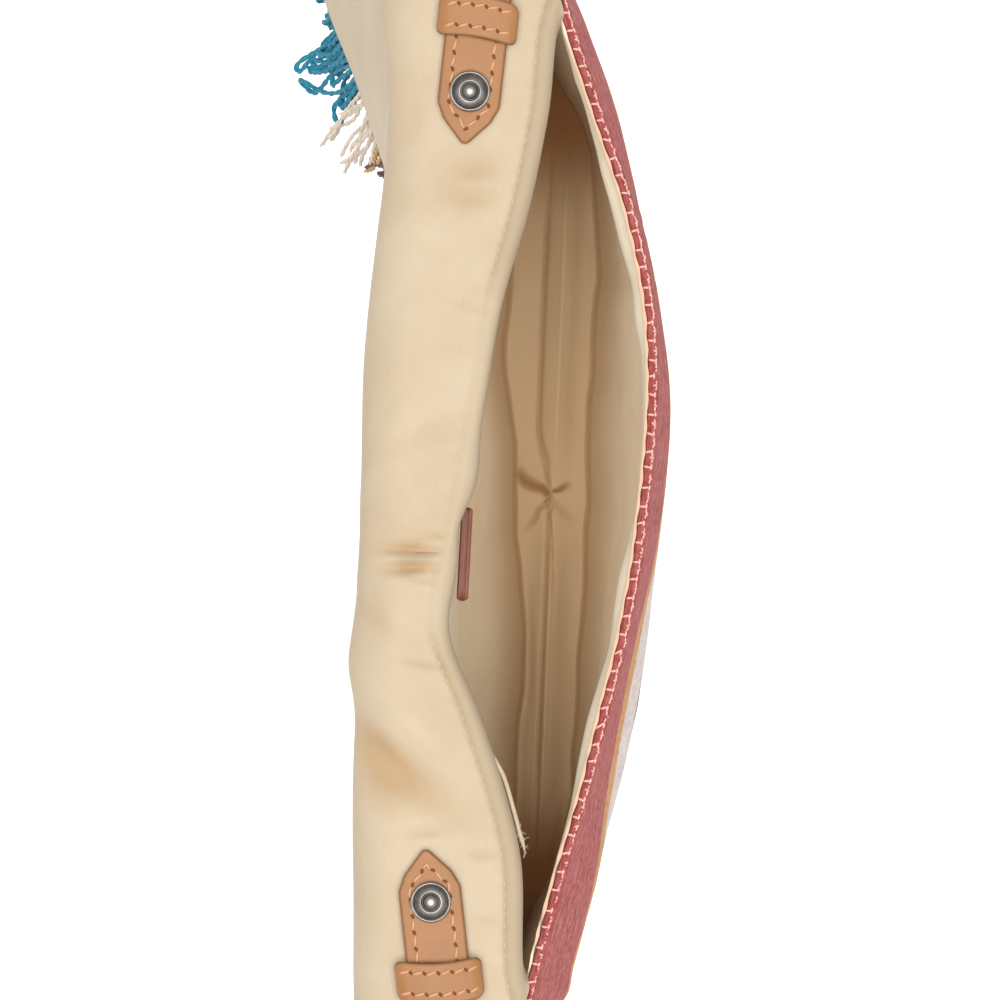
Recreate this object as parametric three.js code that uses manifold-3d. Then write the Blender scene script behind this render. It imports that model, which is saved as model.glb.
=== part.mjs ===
// Crossbody bag standing open: a woven pouch with a cotton lining, a flap thrown back over the rear rim
// with a yarn fringe on its free edge, and a leather strap whose pointed ends pass under keepers on the
// flap and close with snaps. Millimetres, +Z up, the origin in the middle of the base on the surface
// the bag stands on. X runs along the bag's width, -Y is its front.

import * as THREE from "three";
import Module from "manifold-3d";
import { mergeVertices } from "three/addons/utils/BufferGeometryUtils.js";

const wasm = await Module();
wasm.setup();

// Cloth, leather and clearances.
const RIM_HEIGHT = 200;
const HALF_WIDTH = 160;
const CLOTH = 2;
const LINING = 1.2;
const GAP = 0.3;
const LEATHER = 3;
const BASE_THICKNESS = 2;

// The line between the two side seams, seen from above.
const SEAM_MIDDLE_Y = 1.3;
const SEAM_SLOPE = -0.042;

// Front hem: the cloth is folded double along the rim.
const HEM_EXTRA = 1.5;
const HEM_HEIGHT = 11;

// Cross-sections of the pouch below the rim. The back's depth is measured from the seam line, its peak is
// where the depth is greatest as a share of the half width, and boxiness squares the ends.
const BODY_SECTIONS = [
  { z: 2.3, halfWidth: 151, back: 20, backPeak: 0, boxiness: 7 },
  { z: 27, halfWidth: 158, back: 26, backPeak: 0, boxiness: 4.6 },
  { z: 75, halfWidth: 163, back: 30, backPeak: -0.05, boxiness: 3.4 },
  { z: 128, halfWidth: 165, back: 32, backPeak: -0.1, boxiness: 3 },
  { z: 175, halfWidth: 163.5, back: 33, backPeak: -0.2, boxiness: 2.3 },
  { z: 200, halfWidth: 160, back: 33, backPeak: -0.2, boxiness: 2 },
];

// Outline of the pouch from above: depth of the outer cloth before the seam line at the rim, at the foot
// of the rim's band and at the belly, and behind the seam line at the rim.
const OUTLINE = [
  { x: -160, front: 0, band: 0, belly: 0, back: 0 },
  { x: -153, front: 2.6, band: 12.4, belly: 11, back: 2.4 },
  { x: -143, front: 5.7, band: 15.5, belly: 14.6, back: 5 },
  { x: -112, front: 13.2, band: 21.4, belly: 22, back: 6.8 },
  { x: -91, front: 17.5, band: 22.9, belly: 27.8, back: 12.2 },
  { x: -65, front: 22.1, band: 26.3, belly: 32.7, back: 21.8 },
  { x: -37, front: 27.7, band: 31.5, belly: 35.8, back: 33.1 },
  { x: -11, front: 31.6, band: 36.6, belly: 37.6, back: 29.8 },
  { x: 27, front: 33.7, band: 38.6, belly: 38.2, back: 24.3 },
  { x: 59, front: 30.2, band: 33.9, belly: 34.2, back: 20.1 },
  { x: 90, front: 22.5, band: 26.6, belly: 26.8, back: 12.7 },
  { x: 118, front: 12.6, band: 18.6, belly: 18.8, back: 8.2 },
  { x: 143, front: 5.8, band: 9.2, belly: 9.4, back: 5 },
  { x: 153, front: 2.6, band: 5.4, belly: 5.4, back: 2.4 },
  { x: 160, front: 0, band: 0, belly: 0, back: 0 },
];
const BAND_Z = 170;
const BELLY_Z = 118;
const RIM_BLEND_START = 110;
const RIM_BLEND_POWER = 2.5;

// The front below its belly.
const FRONT_FOOT = [
  { z: 2.3, depth: 21, boxiness: 7 },
  { z: 27, depth: 28, boxiness: 4.6 },
];

// Soft hollows pressed into the front of the pouch.
const FRONT_DENTS = [
  { x: -62, z: 66, spreadX: 30, spreadZ: 28, depth: 2.5 },
  { x: 70, z: 60, spreadX: 34, spreadZ: 30, depth: 1.5 },
];

// Heights at which the pouch is sectioned, and its columns along the width.
const BODY_LEVELS = [2.3, 11, 32, 66, 104, 140, 168, 184, RIM_HEIGHT - HEM_HEIGHT, RIM_HEIGHT];
const BODY_COLUMNS = 20;

// The lining's rim stands proud of the front hem and stops lower at the back, under the flap's roll. It
// hangs slack towards the side seams.
const LINING_FRONT_RISE = 0.5;
const LINING_BACK_DROP = 5.3;
const LINING_END_BLEND = 22;
const LINING_END_SLACK = 2.4;
const LINING_FLOOR_ROWS = 4;

// Ridge of the lining's seam along the base, drawn down where it is tacked to the base.
const SEAM_RIDGE_HEIGHT = 4;
const SEAM_RIDGE_SPREAD = 5;
const TACK = { x: 1.5, spread: 16 };

// The flap lies back from the rear rim, turns down over a soft fold and hangs. Each row gives where
// the fold lies and how far it turns.
const FLAP_HALF_WIDTH = 157;
const FLAP_LINING_HALF_WIDTH = 155.5;
const FLAP_LENGTH = 133;
const FLAP_LINING_LENGTH = 131.5;
const FLAP_TOP = RIM_HEIGHT + GAP + CLOTH + GAP + LINING;
const FOLD_RADIUS = 14;
const FLAP_STATIONS = [
  { x: -157, foldY: 60, turn: 97 },
  { x: -110, foldY: 61, turn: 99 },
  { x: -60, foldY: 60.4, turn: 99 },
  { x: 0, foldY: 58.6, turn: 98 },
  { x: 45, foldY: 57, turn: 97 },
  { x: 76, foldY: 54, turn: 95 },
  { x: 103, foldY: 51, turn: 89.5 },
  { x: 129, foldY: 50.5, turn: 82 },
  { x: 157, foldY: 52, turn: 73 },
];
const CROWN = 1.4;

// The flap's free corner at the +X end spreads outward.
const FLARE = 7;
const FLARE_FROM_X = 95;
const FLARE_FROM_ALONG = 55;

// Hollows, pleats and swellings of the flap: where each lies along the width and back from the rim.
const FLAP_DENTS = [
  { x: -14.5, along: 12, spreadX: 2.2, spreadAlong: 9, depth: 1.6 },
  { x: -20.5, along: 10, spreadX: 2.2, spreadAlong: 8, depth: 1.4 },
  { x: -81, along: 33, spreadX: 15, spreadAlong: 10, depth: 2.6 },
  { x: -48, along: 34, spreadX: 13, spreadAlong: 12, depth: -1.6 },
  { x: 97, along: 18, spreadX: 9, spreadAlong: 9, depth: 1.3 },
  { x: 40, along: 22, spreadX: 26, spreadAlong: 12, depth: -1.2 },
  { x: -60, along: 85, spreadX: 30, spreadAlong: 26, depth: 3 },
  { x: 62, along: 95, spreadX: 34, spreadAlong: 24, depth: 2.4 },
  { x: 5, along: 105, spreadX: 26, spreadAlong: 30, depth: -2.4 },
];
const PLEAT_COLUMNS = [-23, -20.5, -17.5, -14.5, -11.5];

// The flap lining rolls over the rear rim and down inside it. The roll fades out at both ends.
const ROLL_RADIUS = 3.6;
const ROLL_DROP = 5.2;
const ROLL_FADE_START = 112;
const ROLL_FADE_END = 138;

// Yarn fringe, colour blocks from the middle of the free edge to the +X end and mirrored.
const FRINGE_BLOCKS = [
  { colour: "teal", width: 82 },
  { colour: "cream", width: 18 },
  { colour: "gold", width: 8 },
  { colour: "brick", width: 32 },
  { colour: "maroon", width: 10 },
  { colour: "gold", width: 7 },
  { colour: "cream", width: 14 },
  { colour: "teal", width: 27 },
];
const FRINGE_START = FLAP_LENGTH + 0.5;
const FRINGE_HEAD = 7;
const FRINGE_LENGTH = 36;
const FRINGE_PITCH = 7;
const FRINGE_LOCK_WIDTH = 5;
const FRINGE_LOCK_DEPTH = 2.2;
const FRINGE_SWAY = 3.2;
const FRINGE_SWAY_PERIOD = 88;

// Pointed strap ends on the flap, each laid from its tip outward.
const STRAP_ENDS = [
  { side: "right", sign: 1, tipX: 108.5, tipY: 26.1, slope: -0.11, keeperX: 145.8 },
  { side: "left", sign: -1, tipX: -106.5, tipY: 38, slope: -0.11, keeperX: -145.8 },
];
const STRAP_WIDTH = 19;
const STRAP_END_REACH = 163;
const TIP_TAPER = 9;
const TIP_BLUNT = 1.6;
const SNAP_FROM_TIP = 15.8;
const SNAP_HOLE = 4;
const SNAP_POST = 3.2;

const KEEPER_BAND = 12.5;
const KEEPER_LEATHER = 1.8;

// Snap cap, outline from the middle outward.
const SNAP_PROFILE = [
  { radius: 0.9, height: 3.1 },
  { radius: 1.9, height: 2.7 },
  { radius: 2.3, height: 1.9 },
  { radius: 3.6, height: 1.8 },
  { radius: 4.3, height: 2.5 },
  { radius: 5.4, height: 2.3 },
  { radius: 6.1, height: 1.4 },
  { radius: 6.25, height: 0.4 },
];

// Shoulder strap from the bag's +X end to the middle of its run behind the bag, mirrored for the other
// end. It leaves the flap, hangs with a quarter twist, lies down and stands on edge round the back.
// The face columns give the way the strap's outer face looks; follow is how far a point keeps to the
// side of the strap end it comes from.
const STRAP_ROUTE = [
  { x: 163.6, y: 0, z: 206.8, follow: 1, faceX: 0.05, faceY: 0, faceZ: 1 },
  { x: 171, y: -0.8, z: 205.6, follow: 1, faceX: 0.35, faceY: 0, faceZ: 0.94 },
  { x: 179, y: -1.6, z: 199, follow: 1, faceX: 0.75, faceY: 0, faceZ: 0.66 },
  { x: 184, y: -2, z: 188, follow: 1, faceX: 0.97, faceY: 0.02, faceZ: 0.25 },
  { x: 186, y: -1, z: 168, follow: 0.95, faceX: 0.99, faceY: 0.12, faceZ: 0.03 },
  { x: 186.5, y: 2, z: 140, follow: 0.9, faceX: 0.88, faceY: 0.47, faceZ: 0 },
  { x: 187, y: 5, z: 110, follow: 0.8, faceX: 0.6, faceY: 0.8, faceZ: 0 },
  { x: 187.5, y: 9, z: 80, follow: 0.7, faceX: 0.26, faceY: 0.96, faceZ: 0.1 },
  { x: 188, y: 16, z: 52, follow: 0.6, faceX: 0.04, faceY: 0.96, faceZ: 0.28 },
  { x: 188, y: 30, z: 25, follow: 0.45, faceX: 0, faceY: 0.78, faceZ: 0.62 },
  { x: 188, y: 52, z: 7, follow: 0.25, faceX: 0, faceY: 0.3, faceZ: 0.95 },
  { x: 188, y: 76, z: 2.4, follow: 0.1, faceX: 0, faceY: 0.02, faceZ: 1 },
  { x: 188, y: 100, z: 4.2, follow: 0, faceX: 0.2, faceY: 0, faceZ: 0.98 },
  { x: 187.5, y: 122, z: 7.6, follow: 0, faceX: 0.62, faceY: 0, faceZ: 0.78 },
  { x: 187.5, y: 144, z: 9.9, follow: 0, faceX: 0.95, faceY: 0, faceZ: 0.3 },
  { x: 187, y: 167, z: 9.8, follow: 0, faceX: 0.99, faceY: 0.1, faceZ: 0 },
  { x: 181, y: 188, z: 9.8, follow: 0, faceX: 0.85, faceY: 0.52, faceZ: 0 },
  { x: 164, y: 201, z: 9.8, follow: 0, faceX: 0.36, faceY: 0.93, faceZ: 0 },
  { x: 136, y: 205, z: 9.8, follow: 0, faceX: 0.06, faceY: 1, faceZ: 0 },
  { x: 84, y: 203, z: 9.8, follow: 0, faceX: -0.04, faceY: 1, faceZ: 0 },
  { x: 36, y: 200, z: 9.8, follow: 0, faceX: -0.04, faceY: 1, faceZ: 0 },
  { x: 0, y: 199, z: 9.8, follow: 0, faceX: 0, faceY: 1, faceZ: 0 },
];
const STRAP_STEPS = 72;

// Pocket zip on the rear wall of the lining, with its leather pull lying along the wall.
const ZIP_HALF_LENGTH = 80;
const ZIP_MIDDLE_X = 5;
const ZIP_Z = 176;
const ZIP_HEIGHT = 14;
const ZIP_TAPE = 0.9;
const ZIP_TEETH = 2;
const ZIP_COLUMNS = 14;
const SLIDER = { x: 2.5, length: 9, height: 6, depth: 2.6 };
const PULL = { length: 29, height: 8, depth: 3.6 };

const COLOURS = {
  red: "#b46a5e",
  cloth: "#d9d2c6",
  lining: "#e4d2b2",
  leather: "#c8966a",
  pull: "#9c6a54",
  silver: "#8a8078",
  brass: "#a98d5e",
  tape: "#a88a66",
  teal: "#2c7390",
  cream: "#d6cbbb",
  gold: "#c49a4e",
  brick: "#a8574a",
  maroon: "#6e3c3c",
};

const { clamp, degToRad, lerp, smoothstep } = THREE.MathUtils;

// Every column of a table at one value of its key column, on a smooth curve through the rows.
function sampleTable(rows, key, at) {
  const last = rows.length - 1;
  const place = clamp(at, rows[0][key], rows[last][key]);
  let i = 0;
  while (i < last - 1 && place > rows[i + 1][key]) i += 1;
  const [a, b] = [rows[i], rows[i + 1]];
  const before = rows[Math.max(i - 1, 0)];
  const after = rows[Math.min(i + 2, last)];
  const span = b[key] - a[key];
  const t = (place - a[key]) / span;
  const out = {};
  for (const column of Object.keys(a)) {
    const slopeA = (b[column] - before[column]) * span / (b[key] - before[key]);
    const slopeB = (after[column] - a[column]) * span / (after[key] - a[key]);
    const drop = a[column] - b[column];
    const cubic = 2 * drop + slopeA + slopeB;
    const square = -3 * drop - 2 * slopeA - slopeB;
    out[column] = ((cubic * t + square) * t + slopeA) * t + a[column];
  }
  return out;
}

// Sum of soft round hollows at one place.
function dentDepth(dents, x, across, columnAcross, spreadAcross) {
  let sum = 0;
  for (const dent of dents) {
    const u = (x - dent.x) / dent.spreadX;
    const v = (across - dent[columnAcross]) / dent[spreadAcross];
    sum += dent.depth * Math.exp(-u * u - v * v);
  }
  return sum;
}

// Grids of points become one closed body. The first list faces outward as it is wound, the second the
// other way.
function closedBody(outward, inward = []) {
  const corners = [];
  const addTriangle = (a, b, c) => {
    const edges = [a.distanceTo(b), b.distanceTo(c), c.distanceTo(a)];
    if (Math.min(...edges) > 1e-3) corners.push(a, b, c);
  };
  const addGrid = (grid, turned) => {
    for (let i = 0; i < grid.length - 1; i += 1) {
      for (let j = 0; j < grid[i].length - 1; j += 1) {
        const [a, b, c, d] = [grid[i][j], grid[i + 1][j], grid[i + 1][j + 1], grid[i][j + 1]];
        addTriangle(a, turned ? c : b, turned ? b : c);
        addTriangle(a, turned ? d : c, turned ? c : d);
      }
    }
  };
  outward.forEach((grid) => addGrid(grid, false));
  inward.forEach((grid) => addGrid(grid, true));
  const geometry = new THREE.BufferGeometry().setFromPoints(corners);
  return mergeVertices(geometry, 1e-4);
}

// A sheet between two faces given on the same grid. Seen from the upper face, columns run to the left
// of rows.
function sheetBody(upper, lower) {
  const last = upper.length - 1;
  const end = upper[0].length - 1;
  const sides = [
    [lower[0], upper[0]],
    [upper[last], lower[last]],
    upper.map((row, i) => [lower[i][0], row[0]]),
    upper.map((row, i) => [row[end], lower[i][end]]),
  ];
  return closedBody([upper, ...sides], [lower]);
}

function gridOf(rows, columns, pointAt) {
  return rows.map((row) => columns.map((column) => pointAt(row, column)));
}

function fractions(count) {
  return Array.from({ length: count + 1 }, (_, i) => i / count);
}

// Shares of the half width from -1 to 1, closer together towards the side seams and at the pleats.
function widthShares() {
  const spread = fractions(BODY_COLUMNS).map((share) => {
    const side = share * 2 - 1;
    return (side + Math.sin(side * Math.PI / 2)) / 2;
  });
  const pleats = PLEAT_COLUMNS.map((x) => x / HALF_WIDTH);
  const clear = spread.filter((share) => pleats.every((pleat) => Math.abs(share - pleat) > 0.02));
  return [...clear, ...pleats].sort((a, b) => a - b);
}

function toManifold(geometry) {
  const merged = mergeVertices(geometry, 1e-4);
  return new wasm.Manifold(new wasm.Mesh({
    numProp: 3,
    vertProperties: new Float32Array(merged.attributes.position.array),
    triVerts: new Uint32Array(merged.index.array),
  }));
}

function fromManifold(solid) {
  const { vertProperties, triVerts } = solid.getMesh();
  const geometry = new THREE.BufferGeometry();
  geometry.setAttribute("position", new THREE.BufferAttribute(vertProperties, 3));
  geometry.setIndex(new THREE.BufferAttribute(triVerts, 1));
  return geometry;
}

function bareGeometry(geometry) {
  geometry.deleteAttribute("normal");
  geometry.deleteAttribute("uv");
  return mergeVertices(geometry, 1e-4);
}

const bag = new THREE.Group();
bag.name = "crossbody_bag";

function addPiece(name, geometry, colour, roughness = 0.9, metalness = 0) {
  geometry.computeVertexNormals();
  const material = new THREE.MeshStandardMaterial({ color: COLOURS[colour], roughness, metalness });
  const mesh = new THREE.Mesh(geometry, material);
  mesh.name = name;
  bag.add(mesh);
}

function seamY(x) {
  return SEAM_MIDDLE_Y + SEAM_SLOPE * x;
}

function frontDepth(x, z, share) {
  const outline = sampleTable(OUTLINE, "x", share * HALF_WIDTH);
  const profile = FRONT_FOOT.map((row) => ({ z: row.z, depth: row.depth * (1 - Math.abs(share) ** row.boxiness) }));
  profile.push({ z: BELLY_Z, depth: outline.belly });
  profile.push({ z: BAND_Z, depth: outline.band });
  profile.push({ z: RIM_HEIGHT, depth: outline.front });
  const dents = dentDepth(FRONT_DENTS, x, z, "z", "spreadZ");
  return sampleTable(profile, "z", z).depth - (1 - share * share) * dents;
}

function backDepth(z, share, section) {
  const peak = section.backPeak;
  const fromPeak = share > peak ? (share - peak) / (1 - peak) : (share - peak) / (1 + peak);
  const swollen = section.back * (1 - Math.abs(fromPeak) ** section.boxiness);
  const rim = sampleTable(OUTLINE, "x", share * HALF_WIDTH).back;
  const level = clamp((z - RIM_BLEND_START) / (RIM_HEIGHT - RIM_BLEND_START), 0, 1);
  return lerp(swollen, rim, level ** RIM_BLEND_POWER);
}

// Thickness that the doubled hem adds to the front.
function hemDepth(face, x, z) {
  if (face === "back") return 0;
  const share = clamp(x / HALF_WIDTH, -1, 1);
  const doubled = smoothstep(z, RIM_HEIGHT - HEM_HEIGHT - 4, RIM_HEIGHT - HEM_HEIGHT);
  return HEM_EXTRA * doubled * Math.min(8 * (1 - share * share), 1);
}

// Depth of the outer cloth from the seam line, before the bag (front) or behind it (back).
function clothDepth(face, x, z) {
  const section = sampleTable(BODY_SECTIONS, "z", z);
  const share = clamp(x / section.halfWidth, -1, 1);
  const depth = face === "front" ? frontDepth(x, z, share) : backDepth(z, share, section);
  return Math.max(depth, 0) + hemDepth(face, x, z);
}

// Depth at which the inside of the outer cloth lies.
function innerDepth(face, x, z, inset) {
  return Math.max(clothDepth(face, x, z) - hemDepth(face, x, z) - inset, 0);
}

function bodyPoint(face, x, z, depth, clearance) {
  const sign = face === "front" ? -1 : 1;
  return new THREE.Vector3(x, seamY(x) + sign * (clearance + depth), z);
}

// Outer cloth of the front or the back, from one side seam to the other.
function clothPanel(face) {
  const shares = widthShares();
  const halfWidthAt = (z) => sampleTable(BODY_SECTIONS, "z", z).halfWidth;
  const outer = gridOf(shares, BODY_LEVELS, (share, z) => {
    const x = share * halfWidthAt(z);
    return bodyPoint(face, x, z, clothDepth(face, x, z), GAP / 2);
  });
  const inner = gridOf(shares, BODY_LEVELS, (share, z) => {
    const x = share * halfWidthAt(z);
    return bodyPoint(face, x, z, innerDepth(face, x, z, CLOTH), GAP / 2);
  });
  return face === "front" ? sheetBody(outer, inner) : sheetBody(inner, outer);
}

addPiece("front_panel", clothPanel("front"), "red");
addPiece("back_panel", clothPanel("back"), "cloth");

// Lens-shaped floor between the front and back curves of one ring.
function floorGrid(ring, rows, lift) {
  return ring.front.map((front, i) => fractions(rows).map((share) => {
    const point = front.clone().lerp(ring.back[i], share);
    if (share > 0 && share < 1) point.z += lift(point);
    return point;
  }));
}

// Base panel: a plate under the walls with its lower edge turned in.
function basePanel() {
  const shares = widthShares();
  const { z, halfWidth } = BODY_SECTIONS[0];
  const ringAt = (height, inset) => {
    const curve = (face) => shares.map((share) => {
      const x = share * (halfWidth - inset);
      const depth = clothDepth(face, share * halfWidth, z) * (1 - inset / 20);
      return bodyPoint(face, x, height, depth, 0);
    });
    return { front: curve("front"), back: curve("back") };
  };
  const rings = [ringAt(0, 1.6), ringAt(0.8, 0.3), ringAt(BASE_THICKNESS, 0)];
  const flat = () => 0;
  const edge = (face) => shares.map((_, i) => rings.map((ring) => ring[face][i]));
  return closedBody(
    [floorGrid(rings[2], 2, flat), edge("front")],
    [floorGrid(rings[0], 2, flat), edge("back")],
  );
}

addPiece("base_panel", basePanel(), "cloth");

// How far the lining reaches towards one side seam at one height.
function liningReach(sign, z, inset) {
  let [inside, outside] = [0, HALF_WIDTH];
  for (let i = 0; i < 30; i += 1) {
    const middle = (inside + outside) / 2;
    const room = Math.min(innerDepth("front", sign * middle, z, 0), innerDepth("back", sign * middle, z, 0));
    if (room > inset) inside = middle;
    else outside = middle;
  }
  return inside;
}

// Top of the lining: proud of the front hem, lower along the back.
function liningTop(face, share, reach) {
  const fromEnd = (1 - Math.abs(share)) * reach;
  const risen = smoothstep(fromEnd, 0, LINING_END_BLEND);
  const ends = RIM_HEIGHT - LINING_BACK_DROP / 2;
  const top = face === "front" ? RIM_HEIGHT + LINING_FRONT_RISE : RIM_HEIGHT - LINING_BACK_DROP;
  return lerp(ends, top, risen);
}

// Lining: a closed cup inside the outer cloth.
function liningCup() {
  const shares = widthShares();
  const floor = BASE_THICKNESS + GAP;
  const levels = BODY_LEVELS.slice(1);
  const ringAt = (level, inset, height) => {
    const [left, right] = [liningReach(-1, level, inset), liningReach(1, level, inset)];
    const curve = (face) => shares.map((share) => {
      const x = share < 0 ? share * left : share * right;
      const top = liningTop(face, share, share < 0 ? left : right);
      const z = lerp(floor, top, (height - floor) / (RIM_HEIGHT - floor));
      const slack = LINING_END_SLACK * smoothstep(Math.abs(share), 0.75, 1);
      const depth = Math.abs(share) === 1 ? 0 : innerDepth(face, x, z, inset + slack);
      return bodyPoint(face, x, z, depth, 0);
    });
    return { front: curve("front"), back: curve("back") };
  };
  const outset = CLOTH + 0.4;
  const outer = [ringAt(floor, outset, floor), ...levels.map((z) => ringAt(z, outset, z))];
  const inset = outset + LINING;
  const inner = [ringAt(floor, inset, floor + LINING), ...levels.map((z) => ringAt(z, inset, z))];
  const ridge = (point) => {
    const across = (point.y - seamY(point.x)) / SEAM_RIDGE_SPREAD;
    const along = (point.x - TACK.x) / TACK.spread;
    const ends = 1 - smoothstep(Math.abs(point.x), 95, 130);
    return SEAM_RIDGE_HEIGHT * Math.exp(-across * across) * (1 - Math.exp(-along * along)) * ends;
  };
  const wall = (rings, face) => rings[0][face].map((_, i) => rings.map((ring) => ring[face][i]));
  const rim = (face) => {
    const [out, into] = [outer.at(-1)[face], inner.at(-1)[face]];
    return out.map((point, i) => [point, into[i]]);
  };
  const [outerFloor, innerFloor] = [() => 0, ridge].map((lift, i) => {
    return floorGrid([outer, inner][i][0], LINING_FLOOR_ROWS, lift);
  });
  return closedBody(
    [wall(outer, "front"), wall(inner, "back"), rim("front"), innerFloor],
    [wall(outer, "back"), wall(inner, "front"), rim("back"), outerFloor],
  );
}

addPiece("lining", liningCup(), "lining");

// Outer face of the back cloth at the rim, which the flap lies over.
function backRimY(x) {
  return seamY(x) + clothDepth("back", clamp(x, -HALF_WIDTH, HALF_WIDTH), RIM_HEIGHT);
}

// Lengths of the flap's stretches at one station: back from the rim, round the fold, and hanging.
function flapStretches(x) {
  const { foldY, turn } = sampleTable(FLAP_STATIONS, "x", x);
  const startY = backRimY(x) - 0.6;
  const run = foldY - FOLD_RADIUS - startY;
  const angle = degToRad(turn);
  return { startY, run, angle, bend: FOLD_RADIUS * angle };
}

// A point of the flap, a distance along it from the rim and a depth below its lining's face. Distances
// before the rim run down the roll inside the bag.
function flapPoint(x, along, depth) {
  const { startY, run, angle, bend } = flapStretches(x);
  const dent = dentDepth(FLAP_DENTS, x, along, "along", "spreadAlong");
  const below = depth + dent * smoothstep(along, 0, 10);
  if (along < 0) {
    const fade = smoothstep(Math.abs(x), ROLL_FADE_START, ROLL_FADE_END);
    const turned = Math.min(-along / ROLL_RADIUS, lerp(Math.PI / 2, 0.25, fade));
    const straight = -along - turned * ROLL_RADIUS;
    const y = startY - Math.sin(turned) * (ROLL_RADIUS - depth) - Math.cos(turned) * straight;
    const z = FLAP_TOP - ROLL_RADIUS + Math.cos(turned) * (ROLL_RADIUS - depth) - Math.sin(turned) * straight;
    return new THREE.Vector3(x, y, z);
  }
  const turned = clamp((along - run) / FOLD_RADIUS, 0, angle);
  const hang = Math.max(along - run - bend, 0);
  const flat = Math.min(along, run);
  const crown = CROWN * Math.sin(Math.PI * clamp(along / (run + bend * 0.5), 0, 1)) ** 2;
  const y = startY + flat + Math.sin(turned) * (FOLD_RADIUS - below) + Math.cos(turned) * hang;
  const lift = Math.cos(turned) * (FOLD_RADIUS - below) - Math.sin(turned) * hang;
  const outward = smoothstep(x, FLARE_FROM_X, FLAP_HALF_WIDTH);
  const spread = FLARE * outward * smoothstep(along, FLARE_FROM_ALONG, FLAP_LENGTH);
  return new THREE.Vector3(x + spread, y, FLAP_TOP - FOLD_RADIUS + lift + crown);
}

// Height of the flap's upper face where it lies back from the rim.
function flapHeight(x, y) {
  const station = clamp(x, -FLAP_LINING_HALF_WIDTH, FLAP_LINING_HALF_WIDTH);
  return flapPoint(station, y - flapStretches(station).startY, 0).z;
}

function flapColumns(halfWidth) {
  const inside = widthShares().map((share) => share * HALF_WIDTH).filter((x) => Math.abs(x) < 150);
  return [-halfWidth, ...inside, halfWidth];
}

// Distances along the flap at one station, finer round the fold.
function flapRows(x, length) {
  const { run, bend } = flapStretches(x);
  const hang = FLAP_LENGTH - run - bend;
  return [
    ...fractions(4).map((share) => share * run),
    ...fractions(4).slice(1).map((share) => run + share * bend),
    ...fractions(4).slice(1, -1).map((share) => run + bend + share * hang),
    length,
  ];
}

function flapSheet(halfWidth, length, lead, topDepth, thickness) {
  const faceAt = (depth) => flapColumns(halfWidth).map((x) => {
    const rows = [...lead(x), ...flapRows(x, length)];
    return rows.map((along) => flapPoint(x, along, depth));
  });
  return sheetBody(faceAt(topDepth), faceAt(topDepth + thickness));
}

const shellLead = () => [-0.4];
function liningLead(x) {
  const fade = smoothstep(Math.abs(x), ROLL_FADE_START, ROLL_FADE_END);
  const arc = ROLL_RADIUS * lerp(Math.PI / 2, 0.25, fade);
  return [-arc - lerp(ROLL_DROP, 0.3, fade), -arc, -arc * 0.66, -arc * 0.33];
}

addPiece("flap_lining", flapSheet(FLAP_LINING_HALF_WIDTH, FLAP_LINING_LENGTH, liningLead, 0, LINING), "lining");
addPiece("flap_shell", flapSheet(FLAP_HALF_WIDTH, FLAP_LENGTH, shellLead, LINING + GAP, CLOTH), "cloth");

// One hanging lock of yarn: a tapered strip that follows the flap and sways along its edge.
function fringeLock(x, index) {
  const length = FRINGE_LENGTH * (1 + 0.09 * Math.sin(index * 2.4) + 0.05 * Math.sin(index * 5.1));
  const sway = FRINGE_SWAY * Math.sin(x * 2 * Math.PI / FRINGE_SWAY_PERIOD);
  const spread = smoothstep(x, 90, 150) * 5;
  const sections = [
    { share: 0.08, width: 1, depth: 0.85 },
    { share: 0.6, width: 0.96, depth: 1 },
    { share: 1, width: 0.5, depth: 0.5 },
  ];
  const middle = LINING + GAP + CLOTH * 0.4;
  const rings = sections.map(({ share, width, depth }) => {
    const along = FRINGE_START + share * length;
    const shift = sway * share * share;
    const halfWidth = width * FRINGE_LOCK_WIDTH / 2;
    const halfDepth = depth * FRINGE_LOCK_DEPTH / 2;
    const out = middle - spread * share * share;
    return [[-1, -1], [1, -1], [1, 1], [-1, 1]].map(([across, through]) => {
      const point = flapPoint(x, along, out + through * halfDepth);
      point.x += shift + across * halfWidth;
      return point;
    });
  });
  const sides = rings.map((ring) => [...ring, ring[0]]);
  const cap = (ring) => [[ring[0], ring[1]], [ring[3], ring[2]]];
  return closedBody([cap(rings[0])], [sides, cap(rings.at(-1))]);
}

// Fringe blocks along the free edge, from one end of the flap to the other.
function fringeRow() {
  const outward = FRINGE_BLOCKS.slice(1);
  const row = [...[...outward].reverse(), FRINGE_BLOCKS[0], ...outward];
  const total = row.reduce((sum, block) => sum + block.width, 0);
  const scale = 2 * FLAP_HALF_WIDTH / total;
  let start = -FLAP_HALF_WIDTH;
  return row.map(({ colour, width }) => {
    const block = { colour, from: start + 0.2, to: start + width * scale - 0.2 };
    start += width * scale;
    return block;
  });
}

// One colour block: locks fused to a head that carries on from the flap's edge.
function fringeBlock({ from, to }) {
  const columns = fractions(Math.max(Math.ceil((to - from) / 14), 1)).map((share) => lerp(from, to, share));
  const rows = [FRINGE_START, FRINGE_START + FRINGE_HEAD];
  const face = (depth) => gridOf(columns, rows, (x, along) => flapPoint(x, along, depth));
  let block = toManifold(sheetBody(face(LINING), face(LINING + GAP + CLOTH)));
  const count = Math.max(Math.round((to - from) / FRINGE_PITCH), 1);
  for (let i = 0; i < count; i += 1) {
    const x = lerp(from, to, (i + 0.5) / count);
    block = block.add(toManifold(fringeLock(x, Math.round(x))));
  }
  return fromManifold(block);
}

fringeRow().forEach((block, i) => {
  const number = String(i + 1).padStart(2, "0");
  addPiece(`fringe_${number}_${block.colour}`, fringeBlock(block), block.colour);
});

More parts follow.
